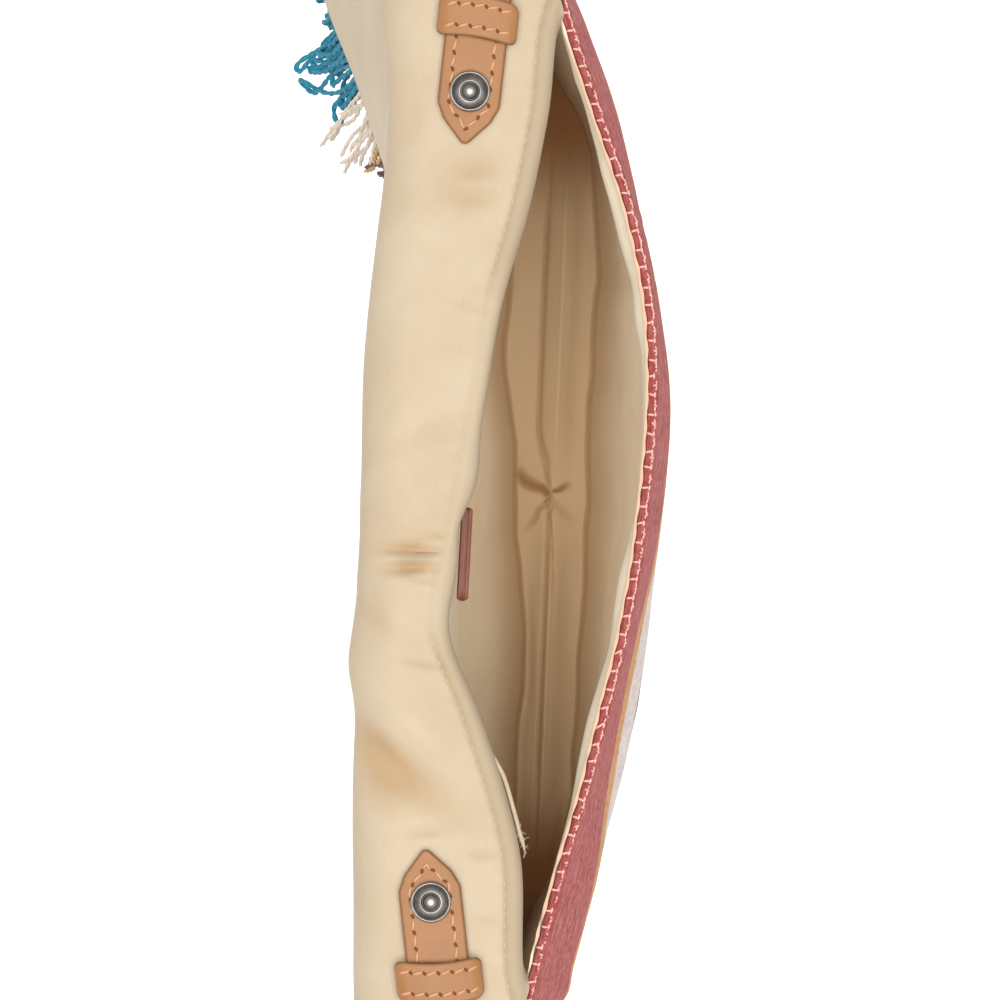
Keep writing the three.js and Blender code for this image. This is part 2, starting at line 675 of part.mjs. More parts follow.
// Middle line of a strap end: its plan position a distance outward from the tip.
function strapEndAxis({ sign, tipX, tipY, slope }, distance) {
  const scale = Math.hypot(1, slope);
  return new THREE.Vector2(tipX + sign * distance / scale, tipY + slope * distance / scale);
}

function strapEndPoint(row, distance, across, height) {
  const axis = strapEndAxis(row, distance);
  const x = axis.x - row.sign * row.slope * across;
  const y = axis.y + across;
  return new THREE.Vector3(x, y, flapHeight(x, y) + 0.35 + height);
}

// Pointed leather end with a hole for its snap.
function strapEnd(row) {
  const length = (STRAP_END_REACH - Math.abs(row.tipX)) * Math.hypot(1, row.slope);
  const distances = [0, 3, 6, TIP_TAPER, ...fractions(6).slice(1).map((share) => lerp(TIP_TAPER, length, share))];
  const halfWidth = (distance) => {
    const taper = clamp(distance / TIP_TAPER, 0, 1);
    return lerp(TIP_BLUNT, STRAP_WIDTH / 2, taper);
  };
  const face = (height) => gridOf(distances, [-1, -0.5, 0, 0.5, 1], (distance, share) => {
    return strapEndPoint(row, distance, row.sign * share * halfWidth(distance), height);
  });
  const leather = toManifold(sheetBody(face(LEATHER), face(0)));
  const hole = bareGeometry(new THREE.CylinderGeometry(SNAP_HOLE / 2, SNAP_HOLE / 2, 30, 16));
  hole.rotateX(Math.PI / 2);
  const centre = strapEndPoint(row, SNAP_FROM_TIP, 0, 0);
  hole.translate(centre.x, centre.y, centre.z);
  return fromManifold(leather.subtract(toManifold(hole)));
}

// Leather band that loops over a strap end and goes down into the flap on each side of it.
function keeper(row) {
  const distance = (Math.abs(row.keeperX) - Math.abs(row.tipX)) * Math.hypot(1, row.slope);
  const inside = STRAP_WIDTH / 2 + 0.7;
  const clear = LEATHER + 0.75;
  const underside = [
    { across: inside + KEEPER_LEATHER, height: 0 },
    { across: inside + 0.2, height: 0 },
    { across: inside, height: clear * 0.5 },
    { across: inside - 1, height: clear },
    { across: 0, height: clear + 0.3 },
  ];
  const upperside = [
    { across: inside + KEEPER_LEATHER, height: 0.6 },
    { across: inside + KEEPER_LEATHER * 1.05, height: clear * 0.5 },
    { across: inside + KEEPER_LEATHER * 0.8, height: clear + KEEPER_LEATHER * 0.2 },
    { across: inside - 0.6, height: clear + KEEPER_LEATHER * 0.85 },
    { across: 0, height: clear + 0.3 + KEEPER_LEATHER },
  ];
  const edges = [distance - KEEPER_BAND / 2, distance, distance + KEEPER_BAND / 2];
  const face = (half) => {
    const otherHalf = half.slice(0, -1).reverse();
    const outline = [...half.map(({ across, height }) => ({ across: -across, height })), ...otherHalf];
    return edges.map((place) => outline.map(({ across, height }) => {
      return strapEndPoint(row, place, row.sign * across, height);
    }));
  };
  return sheetBody(face(upperside), face(underside));
}

// Snap cap with the post that fastens it through the leather.
function snap(row) {
  const rim = SNAP_PROFILE.at(-1);
  const outline = [
    new THREE.Vector2(0, 0.25 - LEATHER),
    new THREE.Vector2(SNAP_POST / 2, 0.25 - LEATHER),
    new THREE.Vector2(SNAP_POST / 2, GAP),
    new THREE.Vector2(rim.radius - 0.5, GAP),
    ...[...SNAP_PROFILE].reverse().map(({ radius, height }) => new THREE.Vector2(radius, height + GAP)),
    new THREE.Vector2(0, SNAP_PROFILE[0].height + GAP + 0.1),
  ];
  const turned = bareGeometry(new THREE.LatheGeometry(outline, 16));
  turned.rotateX(Math.PI / 2);
  const seat = strapEndPoint(row, SNAP_FROM_TIP, 0, LEATHER);
  const reach = [-1, 1].map((side) => strapEndPoint(row, SNAP_FROM_TIP + side * rim.radius, 0, LEATHER).z);
  turned.translate(seat.x, seat.y, Math.max(seat.z, ...reach));
  return fromManifold(toManifold(turned));
}

for (const row of STRAP_ENDS) {
  addPiece(`strap_end_${row.side}`, strapEnd(row), "leather", 0.6);
  addPiece(`keeper_${row.side}`, keeper(row), "leather", 0.6);
  addPiece(`snap_${row.side}`, snap(row), "silver", 0.35, 1);
}

// Shoulder strap: a flat leather band swept along its route with the face it shows at each point.
function shoulderStrap() {
  const exitY = Object.fromEntries(STRAP_ENDS.map((row) => {
    const length = (STRAP_END_REACH - Math.abs(row.tipX)) * Math.hypot(1, row.slope);
    return [row.sign, strapEndAxis(row, length).y];
  }));
  const half = (sign) => STRAP_ROUTE.map((row) => ({
    place: new THREE.Vector3(sign * row.x, row.y + row.follow * exitY[sign], row.z),
    face: new THREE.Vector3(sign * row.faceX, row.faceY, row.faceZ).normalize(),
  }));
  const route = [...half(1), ...half(-1).slice(0, -1).reverse()];
  const places = new THREE.CatmullRomCurve3(route.map(({ place }) => place), false, "centripetal");
  const faces = new THREE.CatmullRomCurve3(route.map(({ face }) => face), false, "catmullrom");
  const rings = fractions(STRAP_STEPS).map((share) => {
    const place = places.getPoint(share);
    const along = places.getTangent(share);
    const face = faces.getPoint(share);
    face.addScaledVector(along, -face.dot(along)).normalize();
    const across = new THREE.Vector3().crossVectors(along, face);
    return [[-1, -1], [1, -1], [1, 1], [-1, 1], [-1, -1]].map(([side, up]) => {
      return place.clone()
        .addScaledVector(across, side * STRAP_WIDTH / 2)
        .addScaledVector(face, up * LEATHER / 2);
    });
  });
  const cap = (ring) => [[ring[0], ring[1]], [ring[3], ring[2]]];
  return closedBody([rings, cap(rings.at(-1))], [cap(rings[0])]);
}

addPiece("strap", shoulderStrap(), "leather", 0.6);

// Inner face of the lining's rear wall.
function rearWallY(x, z) {
  return seamY(x) + innerDepth("back", x, z, CLOTH + 0.4 + LINING);
}

function rearWallPoint(x, z, standoff) {
  return new THREE.Vector3(x, rearWallY(x, z) - standoff, z);
}

// Tape with the closed row of teeth along its middle.
function zipTape() {
  const columns = fractions(ZIP_COLUMNS).map((share) => ZIP_MIDDLE_X + (share * 2 - 1) * ZIP_HALF_LENGTH);
  const heights = [-0.5, -0.16, -0.12, 0.12, 0.16, 0.5];
  const raised = (height) => Math.abs(height) < 0.14;
  const front = gridOf(columns, heights, (x, height) => {
    const thickness = raised(height) ? ZIP_TEETH : ZIP_TAPE;
    return rearWallPoint(x, ZIP_Z + height * ZIP_HEIGHT, 0.6 + thickness);
  });
  const back = gridOf(columns, heights, (x, height) => {
    return rearWallPoint(x, ZIP_Z + height * ZIP_HEIGHT, 0.6);
  });
  return sheetBody(front, back);
}

addPiece("zip_tape", zipTape(), "tape");

// A rounded block that lies along the rear wall.
function wallBlock(from, to, height, depth, standoff, rounded) {
  const columns = fractions(6).map((share) => lerp(from, to, share));
  const halfHeight = (x) => {
    const end = rounded ? clamp((to - x) * Math.sign(to - from) / (height * 0.5), 0, 1) : 1;
    return height / 2 * Math.sqrt(Math.max(1 - (1 - end) ** 2, 0.16));
  };
  const face = (out) => gridOf(columns, [-1, 0, 1], (x, share) => {
    const z = ZIP_Z + share * halfHeight(x);
    return new THREE.Vector3(x, rearWallY(x, ZIP_Z) - standoff - out, z);
  });
  return from < to ? sheetBody(face(depth), face(0)) : sheetBody(face(0), face(depth));
}

const sliderBack = 0.6 + ZIP_TEETH + GAP;
const sliderEnd = SLIDER.x - SLIDER.length / 2;
addPiece(
  "zip_slider",
  wallBlock(SLIDER.x + SLIDER.length / 2, sliderEnd, SLIDER.height, SLIDER.depth, sliderBack, false),
  "brass", 0.4, 1,
);
addPiece(
  "zip_pull",
  wallBlock(sliderEnd - GAP, sliderEnd - GAP - PULL.length, PULL.height, PULL.depth, sliderBack, true),
  "pull", 0.6,
);

export default bag;
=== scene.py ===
# Crossbody bag standing open on a pale floor: woven pouch, cotton lining, flap thrown back with its
# yarn fringe, leather strap with keepers and snaps. Shapes are worked out in millimetres.
import math

import bpy
import numpy as np
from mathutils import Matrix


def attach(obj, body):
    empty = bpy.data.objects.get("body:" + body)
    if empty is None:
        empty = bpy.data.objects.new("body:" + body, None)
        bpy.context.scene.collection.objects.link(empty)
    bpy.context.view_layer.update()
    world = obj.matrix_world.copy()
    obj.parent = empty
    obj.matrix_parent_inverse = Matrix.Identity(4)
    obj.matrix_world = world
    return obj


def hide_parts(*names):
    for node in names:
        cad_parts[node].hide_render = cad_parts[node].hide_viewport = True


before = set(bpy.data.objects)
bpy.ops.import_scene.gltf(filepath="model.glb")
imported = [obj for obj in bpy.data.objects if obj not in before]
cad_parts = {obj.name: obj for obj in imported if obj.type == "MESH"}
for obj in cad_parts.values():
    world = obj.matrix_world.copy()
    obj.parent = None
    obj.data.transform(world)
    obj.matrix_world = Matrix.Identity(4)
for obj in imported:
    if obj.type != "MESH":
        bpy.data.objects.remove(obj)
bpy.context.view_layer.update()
scene = bpy.context.scene
mm = 0.001
rng = np.random.default_rng(23)


def smoothStep(value, low, high):
    t = np.clip((value - low) / (high - low), 0, 1)
    return t * t * (3 - 2 * t)


def mixed(a, b, share):
    return a + (b - a) * share


# a hill, one at its middle; the second pair of values shapes it in another direction
def bell(u, wide, v=0.0, high=1.0):
    return np.exp(-(u / wide) ** 2 - (v / high) ** 2)


# a quarter circle: nought at nought, one from one on
def rounded(share, least=0.0):
    return np.sqrt(np.clip(1 - (1 - np.clip(share, 0, 1)) ** 2, least, 1))


def waves(x, length, phase=0.0):
    return np.sin(x * 2 * math.pi / length + phase)


# smooth curve through rows; each row's value may be a number or an array as wide as "at"
def curveThrough(keys, values, at):
    keys = np.asarray(keys, float)
    at = np.clip(np.asarray(at, float), keys[0], keys[-1])
    stack = np.stack([np.broadcast_to(np.asarray(value, float), at.shape).ravel() for value in values])
    place, last = at.ravel(), len(keys) - 1
    i = np.clip(np.searchsorted(keys, place, side="left") - 1, 0, last - 1)
    before, after = np.maximum(i - 1, 0), np.minimum(i + 2, last)
    column = np.arange(place.size)
    a, b = stack[i, column], stack[i + 1, column]
    span = keys[i + 1] - keys[i]
    t = (place - keys[i]) / span
    slopeA = (b - stack[before, column]) * span / (keys[i + 1] - keys[before])
    slopeB = (stack[after, column] - a) * span / (keys[after] - keys[i])
    cubic = 2 * (a - b) + slopeA + slopeB
    square = 3 * (b - a) - 2 * slopeA - slopeB
    return (((cubic * t + square) * t + slopeA) * t + a).reshape(at.shape)


# soft random relief between -1 and 1, one hill per unit
def softNoise(u, v, seed):
    lattice = np.random.default_rng(seed).uniform(-1, 1, (64, 64))
    u, v = np.broadcast_arrays(u, v)
    i, j = np.floor(u).astype(int), np.floor(v).astype(int)
    s, t = smoothStep(u - i, 0, 1), smoothStep(v - j, 0, 1)
    low = mixed(lattice[i % 64, j % 64], lattice[(i + 1) % 64, j % 64], s)
    high = mixed(lattice[i % 64, (j + 1) % 64], lattice[(i + 1) % 64, (j + 1) % 64], s)
    return mixed(low, high, t)


def unit(vectors):
    return vectors / np.maximum(np.linalg.norm(vectors, axis=-1, keepdims=True), 1e-9)


def stacked(x, y, z):
    return np.stack(np.broadcast_arrays(x, y, z), -1).astype(float)


# places on the cloth map, for one or both sides of a sheet
def flatMap(u, v, sides=2):
    return np.tile(stacked(u, v, 0)[..., :2].reshape(-1, 2), (sides, 1))


# faces of a grid of points; ring joins the last row to the first
def gridFaces(rows, columns, ring=False, flip=False, start=0):
    i = np.arange(rows if ring else rows - 1)[:, None]
    j = np.arange(columns - 1)[None, :]
    nextRow = (i + 1) % rows
    corners = [i * columns + j, i * columns + j + 1, nextRow * columns + j + 1, nextRow * columns + j]
    faces = np.stack(corners, -1).reshape(-1, 4) + start
    return faces[:, ::-1] if flip else faces


# a sheet with both its faces and its four edges
def closedSheet(upper, lower):
    rows, columns = upper.shape[:2]
    count = rows * columns
    index = np.arange(count).reshape(rows, columns)
    loop = np.concatenate([index[0, :-1], index[:-1, -1], index[-1, :0:-1], index[:0:-1, 0]])
    after = np.roll(loop, -1)
    rim = np.stack([loop, loop + count, after + count, after], -1)
    faces = np.concatenate([gridFaces(rows, columns), gridFaces(rows, columns, flip=True, start=count), rim])
    return np.concatenate([upper.reshape(-1, 3), lower.reshape(-1, 3)]), faces.tolist()


# faces between rings that follow one another: strands x rings x corners
def ringWalls(index, flip=False):
    beside = np.roll(index, -1, axis=-1)
    corners = [index[:, :-1], index[:, 1:], beside[:, 1:], beside[:, :-1]]
    if flip:
        corners = [corners[0], *corners[:0:-1]]
    return np.stack(corners, -1).reshape(-1, 4).tolist()


# many round strands at once: paths are strands x steps x 3
def tubes(paths, radius, facing, sides=6):
    paths = np.asarray(paths, float)
    strands, steps = paths.shape[:2]
    along = unit(np.gradient(paths, axis=1))
    across = unit(np.cross(along, np.broadcast_to(facing, paths.shape)))
    lift = np.cross(across, along)
    turn = np.arange(sides) * 2 * math.pi / sides
    ring = across[:, :, None] * np.cos(turn)[:, None] + lift[:, :, None] * np.sin(turn)[:, None]
    points = paths[:, :, None] + ring * np.broadcast_to(radius, (strands, steps))[:, :, None, None]
    index = np.arange(strands * steps * sides).reshape(strands, steps, sides)
    faces = ringWalls(index) + index[:, 0].tolist() + index[:, -1, ::-1].tolist()
    return points.reshape(-1, 3), faces


def joined(*parts):
    points, faces, start = [], [], 0
    for partPoints, partFaces in parts:
        points.append(partPoints)
        faces += [[corner + start for corner in face] for face in partFaces]
        start += len(partPoints)
    return np.concatenate(points), faces


def addObject(name, data):
    made = bpy.data.objects.new(name, data)
    scene.collection.objects.link(made)
    return made


def makePiece(name, shape, finish, slot, replaced=(), uv=None, marks=None, sharp=50):
    points, faces = shape
    mesh = bpy.data.meshes.new(name)
    mesh.from_pydata((np.asarray(points).reshape(-1, 3) * mm).tolist(), [], faces)
    mesh.shade_smooth()
    mesh.set_sharp_from_angle(angle=math.radians(sharp))
    mesh.materials.append(finish)
    if uv is not None:
        layer = mesh.uv_layers.new(name="clothMap")
        corner = np.empty(len(mesh.loops), int)
        mesh.loops.foreach_get("vertex_index", corner)
        places = (np.asarray(uv).reshape(-1, 2) * mm)[corner]
        layer.data.foreach_set("uv", places.astype(np.float32).ravel())
    for key, values in (marks or {}).items():
        mark = mesh.attributes.new(key, "FLOAT", "POINT")
        mark.data.foreach_set("value", np.asarray(values, np.float32).ravel())
    piece = addObject(name, mesh)
    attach(piece, "root")
    if replaced:
        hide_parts(*replaced)
    return piece


# distance of each point from the start of its line
def reachAlong(points):
    return np.concatenate([[0], np.cumsum(np.linalg.norm(np.diff(points, axis=0), axis=1))])


# points at given distances along a line, with the values that go with them
def alongLine(points, distances, *others):
    reach = reachAlong(points)
    at = np.asarray(distances, float)
    return [np.stack([np.interp(at, reach, column) for column in values.T], -1)
            for values in (points, *others)]


def lineLength(points):
    return np.linalg.norm(np.diff(points, axis=0), axis=1).sum()


# a row of stitches along a line that lies on a surface; gives the threads, whose ends sink into it, and
# the place, normal and direction of each hole between them
def stitchRow(points, normals, look):
    pitch, length, bend = look["pitch"], look["stitch"], look.get("bend", 7)
    total = lineLength(points)
    count = max(int((total - length) / pitch), 1)
    first = (total - (count - 1) * pitch) / 2
    share = np.linspace(-0.5, 0.5, bend)
    at = first + np.arange(count)[:, None] * pitch + share * length
    place, normal = alongLine(points, at.ravel(), normals)
    side = unit(np.cross(unit(np.gradient(place, axis=0)), normal)).reshape(count, bend, 3)
    place, normal = place.reshape(count, bend, 3), unit(normal.reshape(count, bend, 3))
    rise = (look["stitchLift"] * (1 - (2 * share) ** 4) - 0.25)[None, :, None]
    threads = place + normal * rise + side * (look["slant"] * share)[None, :, None]
    hole, up = alongLine(points, first + (np.arange(count - 1) + 0.5) * pitch, normals)
    before, after = threads[:-1, -1], threads[1:, 0]
    return threads, (hole, unit(up), unit(after - before + 1e-6))


# painted shade of the pricked holes: small low dark ovals standing for the shade inside each hole
def holeShadeOvals(sets, long, short, sides=10):
    places, normals, ways = (np.concatenate(parts) for parts in zip(*sets))
    ways = unit(ways - normals * (ways * normals).sum(1, keepdims=True))
    other = np.cross(normals, ways)
    turn = np.arange(sides) * 2 * math.pi / sides
    ring = ways[:, None] * np.cos(turn)[:, None] * long + other[:, None] * np.sin(turn)[:, None] * short
    rings = [places[:, None] + ring * size + normals[:, None] * height
             for size, height in ((1.0, -0.12), (0.9, 0.04))]
    points = np.stack(rings, 1)
    index = np.arange(points[..., 0].size).reshape(len(places), 2, sides)
    faces = ringWalls(index, flip=True) + index[:, 1].tolist() + index[:, 0, ::-1].tolist()
    return points.reshape(-1, 3), faces


# thickness along a stitch
threadEnds = np.array([0.45, 0.85, 1, 1, 1, 0.85, 0.45])


# a shader value: arithmetic on it adds Math nodes, node() adds any other
class Wire:
    def __init__(self, tree, socket=None):
        self.tree = tree
        self.socket = socket

    def node(self, kind, settings=None, values=None, output=0):
        made = self.tree.nodes.new("ShaderNode" + kind)
        for key, setting in (settings or {}).items():
            if key == "stops":
                stops = made.color_ramp.elements
                stops[0].position, stops[0].color = setting[0]
                stops[1].position, stops[1].color = setting[-1]
                for place, colour in setting[1:-1]:
                    stops.new(place).color = colour
            elif key == "blend":
                made.color_ramp.interpolation = setting
            else:
                setattr(made, key, setting)
        for key, value in (values or {}).items():
            if isinstance(value, Wire):
                self.tree.links.new(value.socket, made.inputs[key])
            else:
                made.inputs[key].default_value = value
        return Wire(self.tree, made.outputs[output])

    def maths(self, operation, *values):
        return self.node("Math", {"operation": operation}, dict(enumerate(values)))

    def __add__(self, other):
        return self.maths("ADD", self, other)

    def __sub__(self, other):
        return self.maths("SUBTRACT", self, other)

    def __rsub__(self, other):
        return self.maths("SUBTRACT", other, self)

    def __mul__(self, other):
        return self.maths("MULTIPLY", self, other)

    __radd__ = __add__
    __rmul__ = __mul__

    def sine(self):
        return self.maths("SINE", self)

    def rise(self, low, high):
        return self.node("MapRange", {"interpolation_type": "SMOOTHSTEP"}, {0: self, 1: low, 2: high})

    def colours(self, dark, light):
        return self.node("Mix", {"data_type": "RGBA"}, {0: self, 6: dark, 7: light}, 2)

    def spread(self, factors):
        return self.node("VectorMath", {"operation": "MULTIPLY"}, {0: self, 1: factors})

    def grain(self, scale, detail=3.0, roughness=0.6):
        values = {"Vector": self, "Scale": scale, "Detail": detail, "Roughness": roughness}
        return self.node("TexNoise", {}, values)

    def relief(self, depth):
        return self.node("Bump", {}, {"Strength": 1.0, "Distance": depth, "Height": self})

    def onCloth(self):
        return self.node("UVMap", {"uv_map": "clothMap"})

    def inSpace(self):
        return self.node("TexCoord", {}, {}, 3)

    def mark(self, name):
        return self.node("Attribute", {"attribute_name": name}, {}, 2)


def tint(red, green, blue):
    def linear(value):
        value /= 255
        return value / 12.92 if value <= 0.04045 else ((value + 0.055) / 1.055) ** 2.4
    return (linear(red), linear(green), linear(blue), 1.0)


# a material; paint gives the values that vary over it
def finishOf(name, paint, *looks, **settings):
    material = bpy.data.materials.new(name)
    material.use_nodes = True
    tree = material.node_tree
    shader = tree.nodes["Principled BSDF"]
    for key, value in settings.items():
        shader.inputs[key].default_value = value
    for key, wire in paint(Wire(tree), *looks).items():
        tree.links.new(wire.socket, shader.inputs[key])
    return material


# handwoven cotton: coloured stripes, thick and thin threads, plain weave relief
clothLook = {
    "red": tint(185, 77, 72), "gold": tint(222, 162, 82), "white": tint(240, 237, 230),
    "teal": tint(46, 112, 138), "brick": tint(170, 92, 74), "maroon": tint(112, 58, 58),
    "thread": 0.00085, "relief": 0.00025, "wobble": 0.0011, "hemShade": 0.35,
    "shade": (0.53, 0.39, 0.39, 1), "bleach": (0.95, 0.8, 0.76, 1), "bleached": 0.17,
}


def clothPaint(wire, stripes, acrossStripes):
    look, stops, start = clothLook, [], 0.0
    length = sum(width for _, width in stripes)
    for colour, width in stripes:
        stops.append((start / length, look[colour]))
        start += width
    place = wire.onCloth()
    parts = [place.node("SeparateXYZ", {}, {0: place}, axis) for axis in (0, 1)]
    wobble = place.grain(160.0, 2.0) - 0.5
    at = (parts[acrossStripes] + wobble * look["wobble"]) * (1000 / length)
    stripe = at.node("ValToRGB", {"stops": stops, "blend": "CONSTANT"}, {0: at})
    slub = place.spread((110, 1100, 1) if acrossStripes else (1100, 110, 1)).grain(1.0, 4.0, 0.65)
    fleck = place.spread((500, 800, 1)).grain(1.0, 3.0)
    tone = slub.rise(0.32, 0.68) * 0.55 + fleck.rise(0.34, 0.7) * 0.45
    dark = stripe.node("Mix", {"data_type": "RGBA", "blend_type": "MULTIPLY"},
                       {0: 1.0, 6: stripe, 7: look["shade"]}, 2)
    light = stripe.node("Mix", {"data_type": "RGBA"}, {0: look["bleached"], 6: stripe, 7: look["bleach"]}, 2)
    colour = tone.colours(dark, light)
    colour = (wire.mark("hem") * look["hemShade"]).colours(colour, dark)
    turns = 2 * math.pi / look["thread"]
    weave = (parts[0] * turns).sine() * (parts[1] * turns).sine() * 0.5 + slub * 1.4 + fleck * 0.7
    return {"Base Color": colour, "Normal": weave.relief(look["relief"]), "Roughness": 0.95 - slub * 0.15}


clothGloss = {"Sheen Weight": 0.05, "Sheen Roughness": 0.5, "Specular IOR Level": 0.15}
pouchStripes = [  # from the foot up
    ("red", 14), ("gold", 2), ("white", 5), ("teal", 8), ("gold", 2), ("brick", 22), ("white", 4),
    ("maroon", 5), ("gold", 3), ("white", 19), ("teal", 6), ("gold", 2), ("brick", 16), ("maroon", 4),
    ("white", 8), ("teal", 9), ("white", 29), ("gold", 11.5), ("red", 60),
]
redCloth = finishOf("redCloth", clothPaint, pouchStripes, 1, **clothGloss)

# plain lining cotton with a soft sheen, in two copies of one cloth: the cup's is painted far paler than the
# flap's, as painted light for the dim inside of the bag; marks on the cloth carry painted shade on its hems,
# hollows, creases and depths
liningPaintedLightLooks = {
    # flap copy: the hem and hollow colours are painted shade
    "flap": {"light": tint(190, 174, 149), "dark": tint(181, 163, 136),
             "hem": tint(163, 145, 119), "hollow": tint(170, 139, 102)},
    # cup copy: light and dark are painted pale as painted light; deep and crease are painted shade, and lip
    # is the edge's own colour
    "cup": {"light": tint(254, 243, 222), "dark": tint(247, 231, 205),
            "deep": tint(212, 186, 151), "crease": tint(150, 96, 46), "lip": tint(216, 172, 142)},
}


def liningPaint(wire, look):
    place = wire.onCloth()
    cloud = place.grain(30.0, 4.0)
    slub = place.spread((120, 1900, 1)).grain(1.0, 3.0)
    thread = place.spread((2200, 2200, 1)).grain(1.0, 2.0)
    tone = cloud.rise(0.3, 0.7) * 0.5 + (slub - 0.5) * 0.6 + (thread - 0.5) * 0.6 + 0.25
    colour = tone.rise(0.0, 1.0).colours(look["dark"], look["light"])
    # each later colour is mixed in by the mark of the same name; all but the lip's are painted shade
    for name in list(look)[2:]:
        colour = wire.mark(name).colours(colour, look[name])
    relief = (slub * 0.8 + thread * 0.6).relief(0.00009)
    return {"Base Color": colour, "Roughness": 0.78 + (thread - 0.5) * 0.2, "Normal": relief}


liningFinish = {name: finishOf(name + "Cotton", liningPaint, look,
                               **{"Sheen Weight": 0.1, "Sheen Roughness": 0.4, "Specular IOR Level": 0.2})
                for name, look in liningPaintedLightLooks.items()}

# vegetable-tanned leather, darker where it is worn or cut
leatherLook = {
    "strap": {"light": tint(159, 111, 69), "dark": tint(145, 97, 56), "edge": tint(114, 68, 36)},
    "pull": {"light": tint(160, 104, 84), "dark": tint(138, 82, 64), "edge": tint(112, 62, 48)},
}


def leatherPaint(wire, look):
    place = wire.inSpace()
    cloud = place.grain(60.0, 4.0)
    pores = place.node("TexVoronoi", {"feature": "F1"}, {"Vector": place, "Scale": 1500.0})
    fine = place.grain(1400.0, 3.0)
    colour = (cloud * 0.75 + fine * 0.25).rise(0.3, 0.7).colours(look["dark"], look["light"])
    colour = wire.mark("edge").colours(colour, look["edge"])
    relief = (pores * 0.6 + fine * 0.5).relief(0.00008)
    return {"Base Color": colour, "Roughness": 0.42 + cloud * 0.22, "Normal": relief}


strapLeather = finishOf("strapLeather", leatherPaint, leatherLook["strap"], **{"Specular IOR Level": 0.4})
pullLeather = finishOf("pullLeather", leatherPaint, leatherLook["pull"])


def threadPaint(wire, light, dark):
    place = wire.inSpace()
    fibre = place.grain(2600.0, 2.0)
    return {"Base Color": fibre.rise(0.25, 0.7).colours(dark, light), "Normal": fibre.relief(0.00006)}


rimThread, leatherThread, hemThread, tapeCotton = (
    finishOf(name, threadPaint, light, dark, Roughness=rough) for name, light, dark, rough in (
        ("rimThread", tint(228, 190, 178), tint(200, 142, 132), 0.7),
        ("leatherThread", tint(198, 148, 106), tint(176, 124, 84), 0.6),
        ("hemThread", tint(196, 180, 152), tint(164, 144, 116), 0.75),
        ("tapeCotton", tint(186, 158, 122), tint(150, 122, 90), 0.85)))
# painted shade: dark brown for the ovals at the pricked holes
prickedHoleShade = finishOf("paintedHoleShade", threadPaint, tint(124, 72, 34), tint(100, 54, 22), Roughness=0.8,
                   **{"Specular IOR Level": 0.15})

yarnLook = {
    "teal": (tint(8, 142, 170), tint(0, 94, 120)), "cream": (tint(226, 214, 200), tint(196, 180, 162)),
    "gold": (tint(210, 172, 100), tint(170, 126, 58)), "brick": (tint(184, 100, 82), tint(140, 66, 54)),
    "maroon": (tint(118, 60, 62), tint(78, 34, 38)),
}


def yarnPaint(wire, light, dark):
    place = wire.inSpace()
    fibre = place.grain(1500.0, 3.0)
    tuft = place.grain(300.0, 2.0)
    return {"Base Color": (fibre * 0.6 + tuft * 0.4).rise(0.3, 0.68).colours(dark, light),
            "Normal": fibre.relief(0.00025), "Roughness": 0.75 + fibre * 0.2}


yarnFinish = {colour: finishOf(colour + "Yarn", yarnPaint, *shades, **{"Sheen Weight": 0.12})
              for colour, shades in yarnLook.items()}


def metalPaint(wire, bright, dark):
    place = wire.inSpace()
    patina = place.grain(190.0, 4.0)
    worn = wire.mark("recess")
    dulled = (worn * 0.8 + patina.rise(0.35, 0.7) * 0.4).rise(0.0, 1.0)
    return {"Base Color": dulled.colours(bright, dark), "Roughness": 0.42 + patina * 0.14 + worn * 0.1}


antiqueSilver = finishOf("antiqueSilver", metalPaint, tint(166, 161, 156), tint(104, 99, 94), Metallic=1.0)
zipBrass = finishOf("zipBrass", metalPaint, tint(196, 164, 108), tint(96, 74, 40), Metallic=1.0)
print("finishes ready")

# the pouch: depths of the outer cloth before and behind the line between its side seams
pouch = {"rim": 200.0, "foot": 2.3, "halfWidth": 160.0, "cloth": 2.0, "lining": 1.2, "slip": 0.4, "gap": 0.3,
         "hem": 1.5, "hemHeight": 11.0, "hemSlope": 4.0, "bandZ": 170.0, "bellyZ": 118.0,
         "blendStart": 110.0, "blendPower": 2.5}
seamLine = {"middle": 1.3, "slope": 0.042, "eased": 2.2, "easedX": (115, 155)}
sections = {
    "z": [2.3, 27, 75, 128, 175, 200], "halfWidth": [151, 158, 163, 165, 163.5, 160],
    "back": [20, 26, 30, 32, 33, 33], "backPeak": [0, 0, -0.05, -0.1, -0.2, -0.2],
    "boxiness": [7, 4.6, 3.4, 3, 2.3, 2],
}
outline = {
    "x": [-160, -153, -143, -112, -91, -65, -37, -11, 27, 59, 90, 118, 143, 153, 160],
    "front": [0, 0.8, 2.8, 9.8, 15.2, 20.6, 26.2, 29.4, 31.4, 29.2, 21.6, 11.2, 3.6, 0.9, 0],
    "band": [0, 11.4, 14.3, 20.9, 22.9, 26.3, 31.2, 35.7, 37.7, 33.1, 25.2, 17.2, 9, 4.6, 0],
    "belly": [0, 10, 13.4, 21.6, 27.8, 32.7, 35.4, 36.1, 36.9, 33.2, 25.4, 17.4, 9.2, 4.6, 0],
    "back": [0, 2.4, 5, 6.8, 12.2, 21.8, 33.1, 29.8, 24.3, 20.1, 12.7, 8.2, 5, 2.4, 0],
}
frontFoot = {"z": [2.3, 27], "depth": [21, 28], "boxiness": [7, 4.6]}
frontDents = [(-62, 66, 30, 28, 2.5), (70, 60, 34, 30, 1.5)]  # x, z, spreads, depth


def seamY(x):
    return seamLine["middle"] - seamLine["slope"] * x + seamLine["eased"] * smoothStep(x, *seamLine["easedX"])


def sectionAt(column, z):
    return curveThrough(sections["z"], sections[column], z)


def outlineAt(column, share):
    return curveThrough(outline["x"], outline[column], share * pouch["halfWidth"])


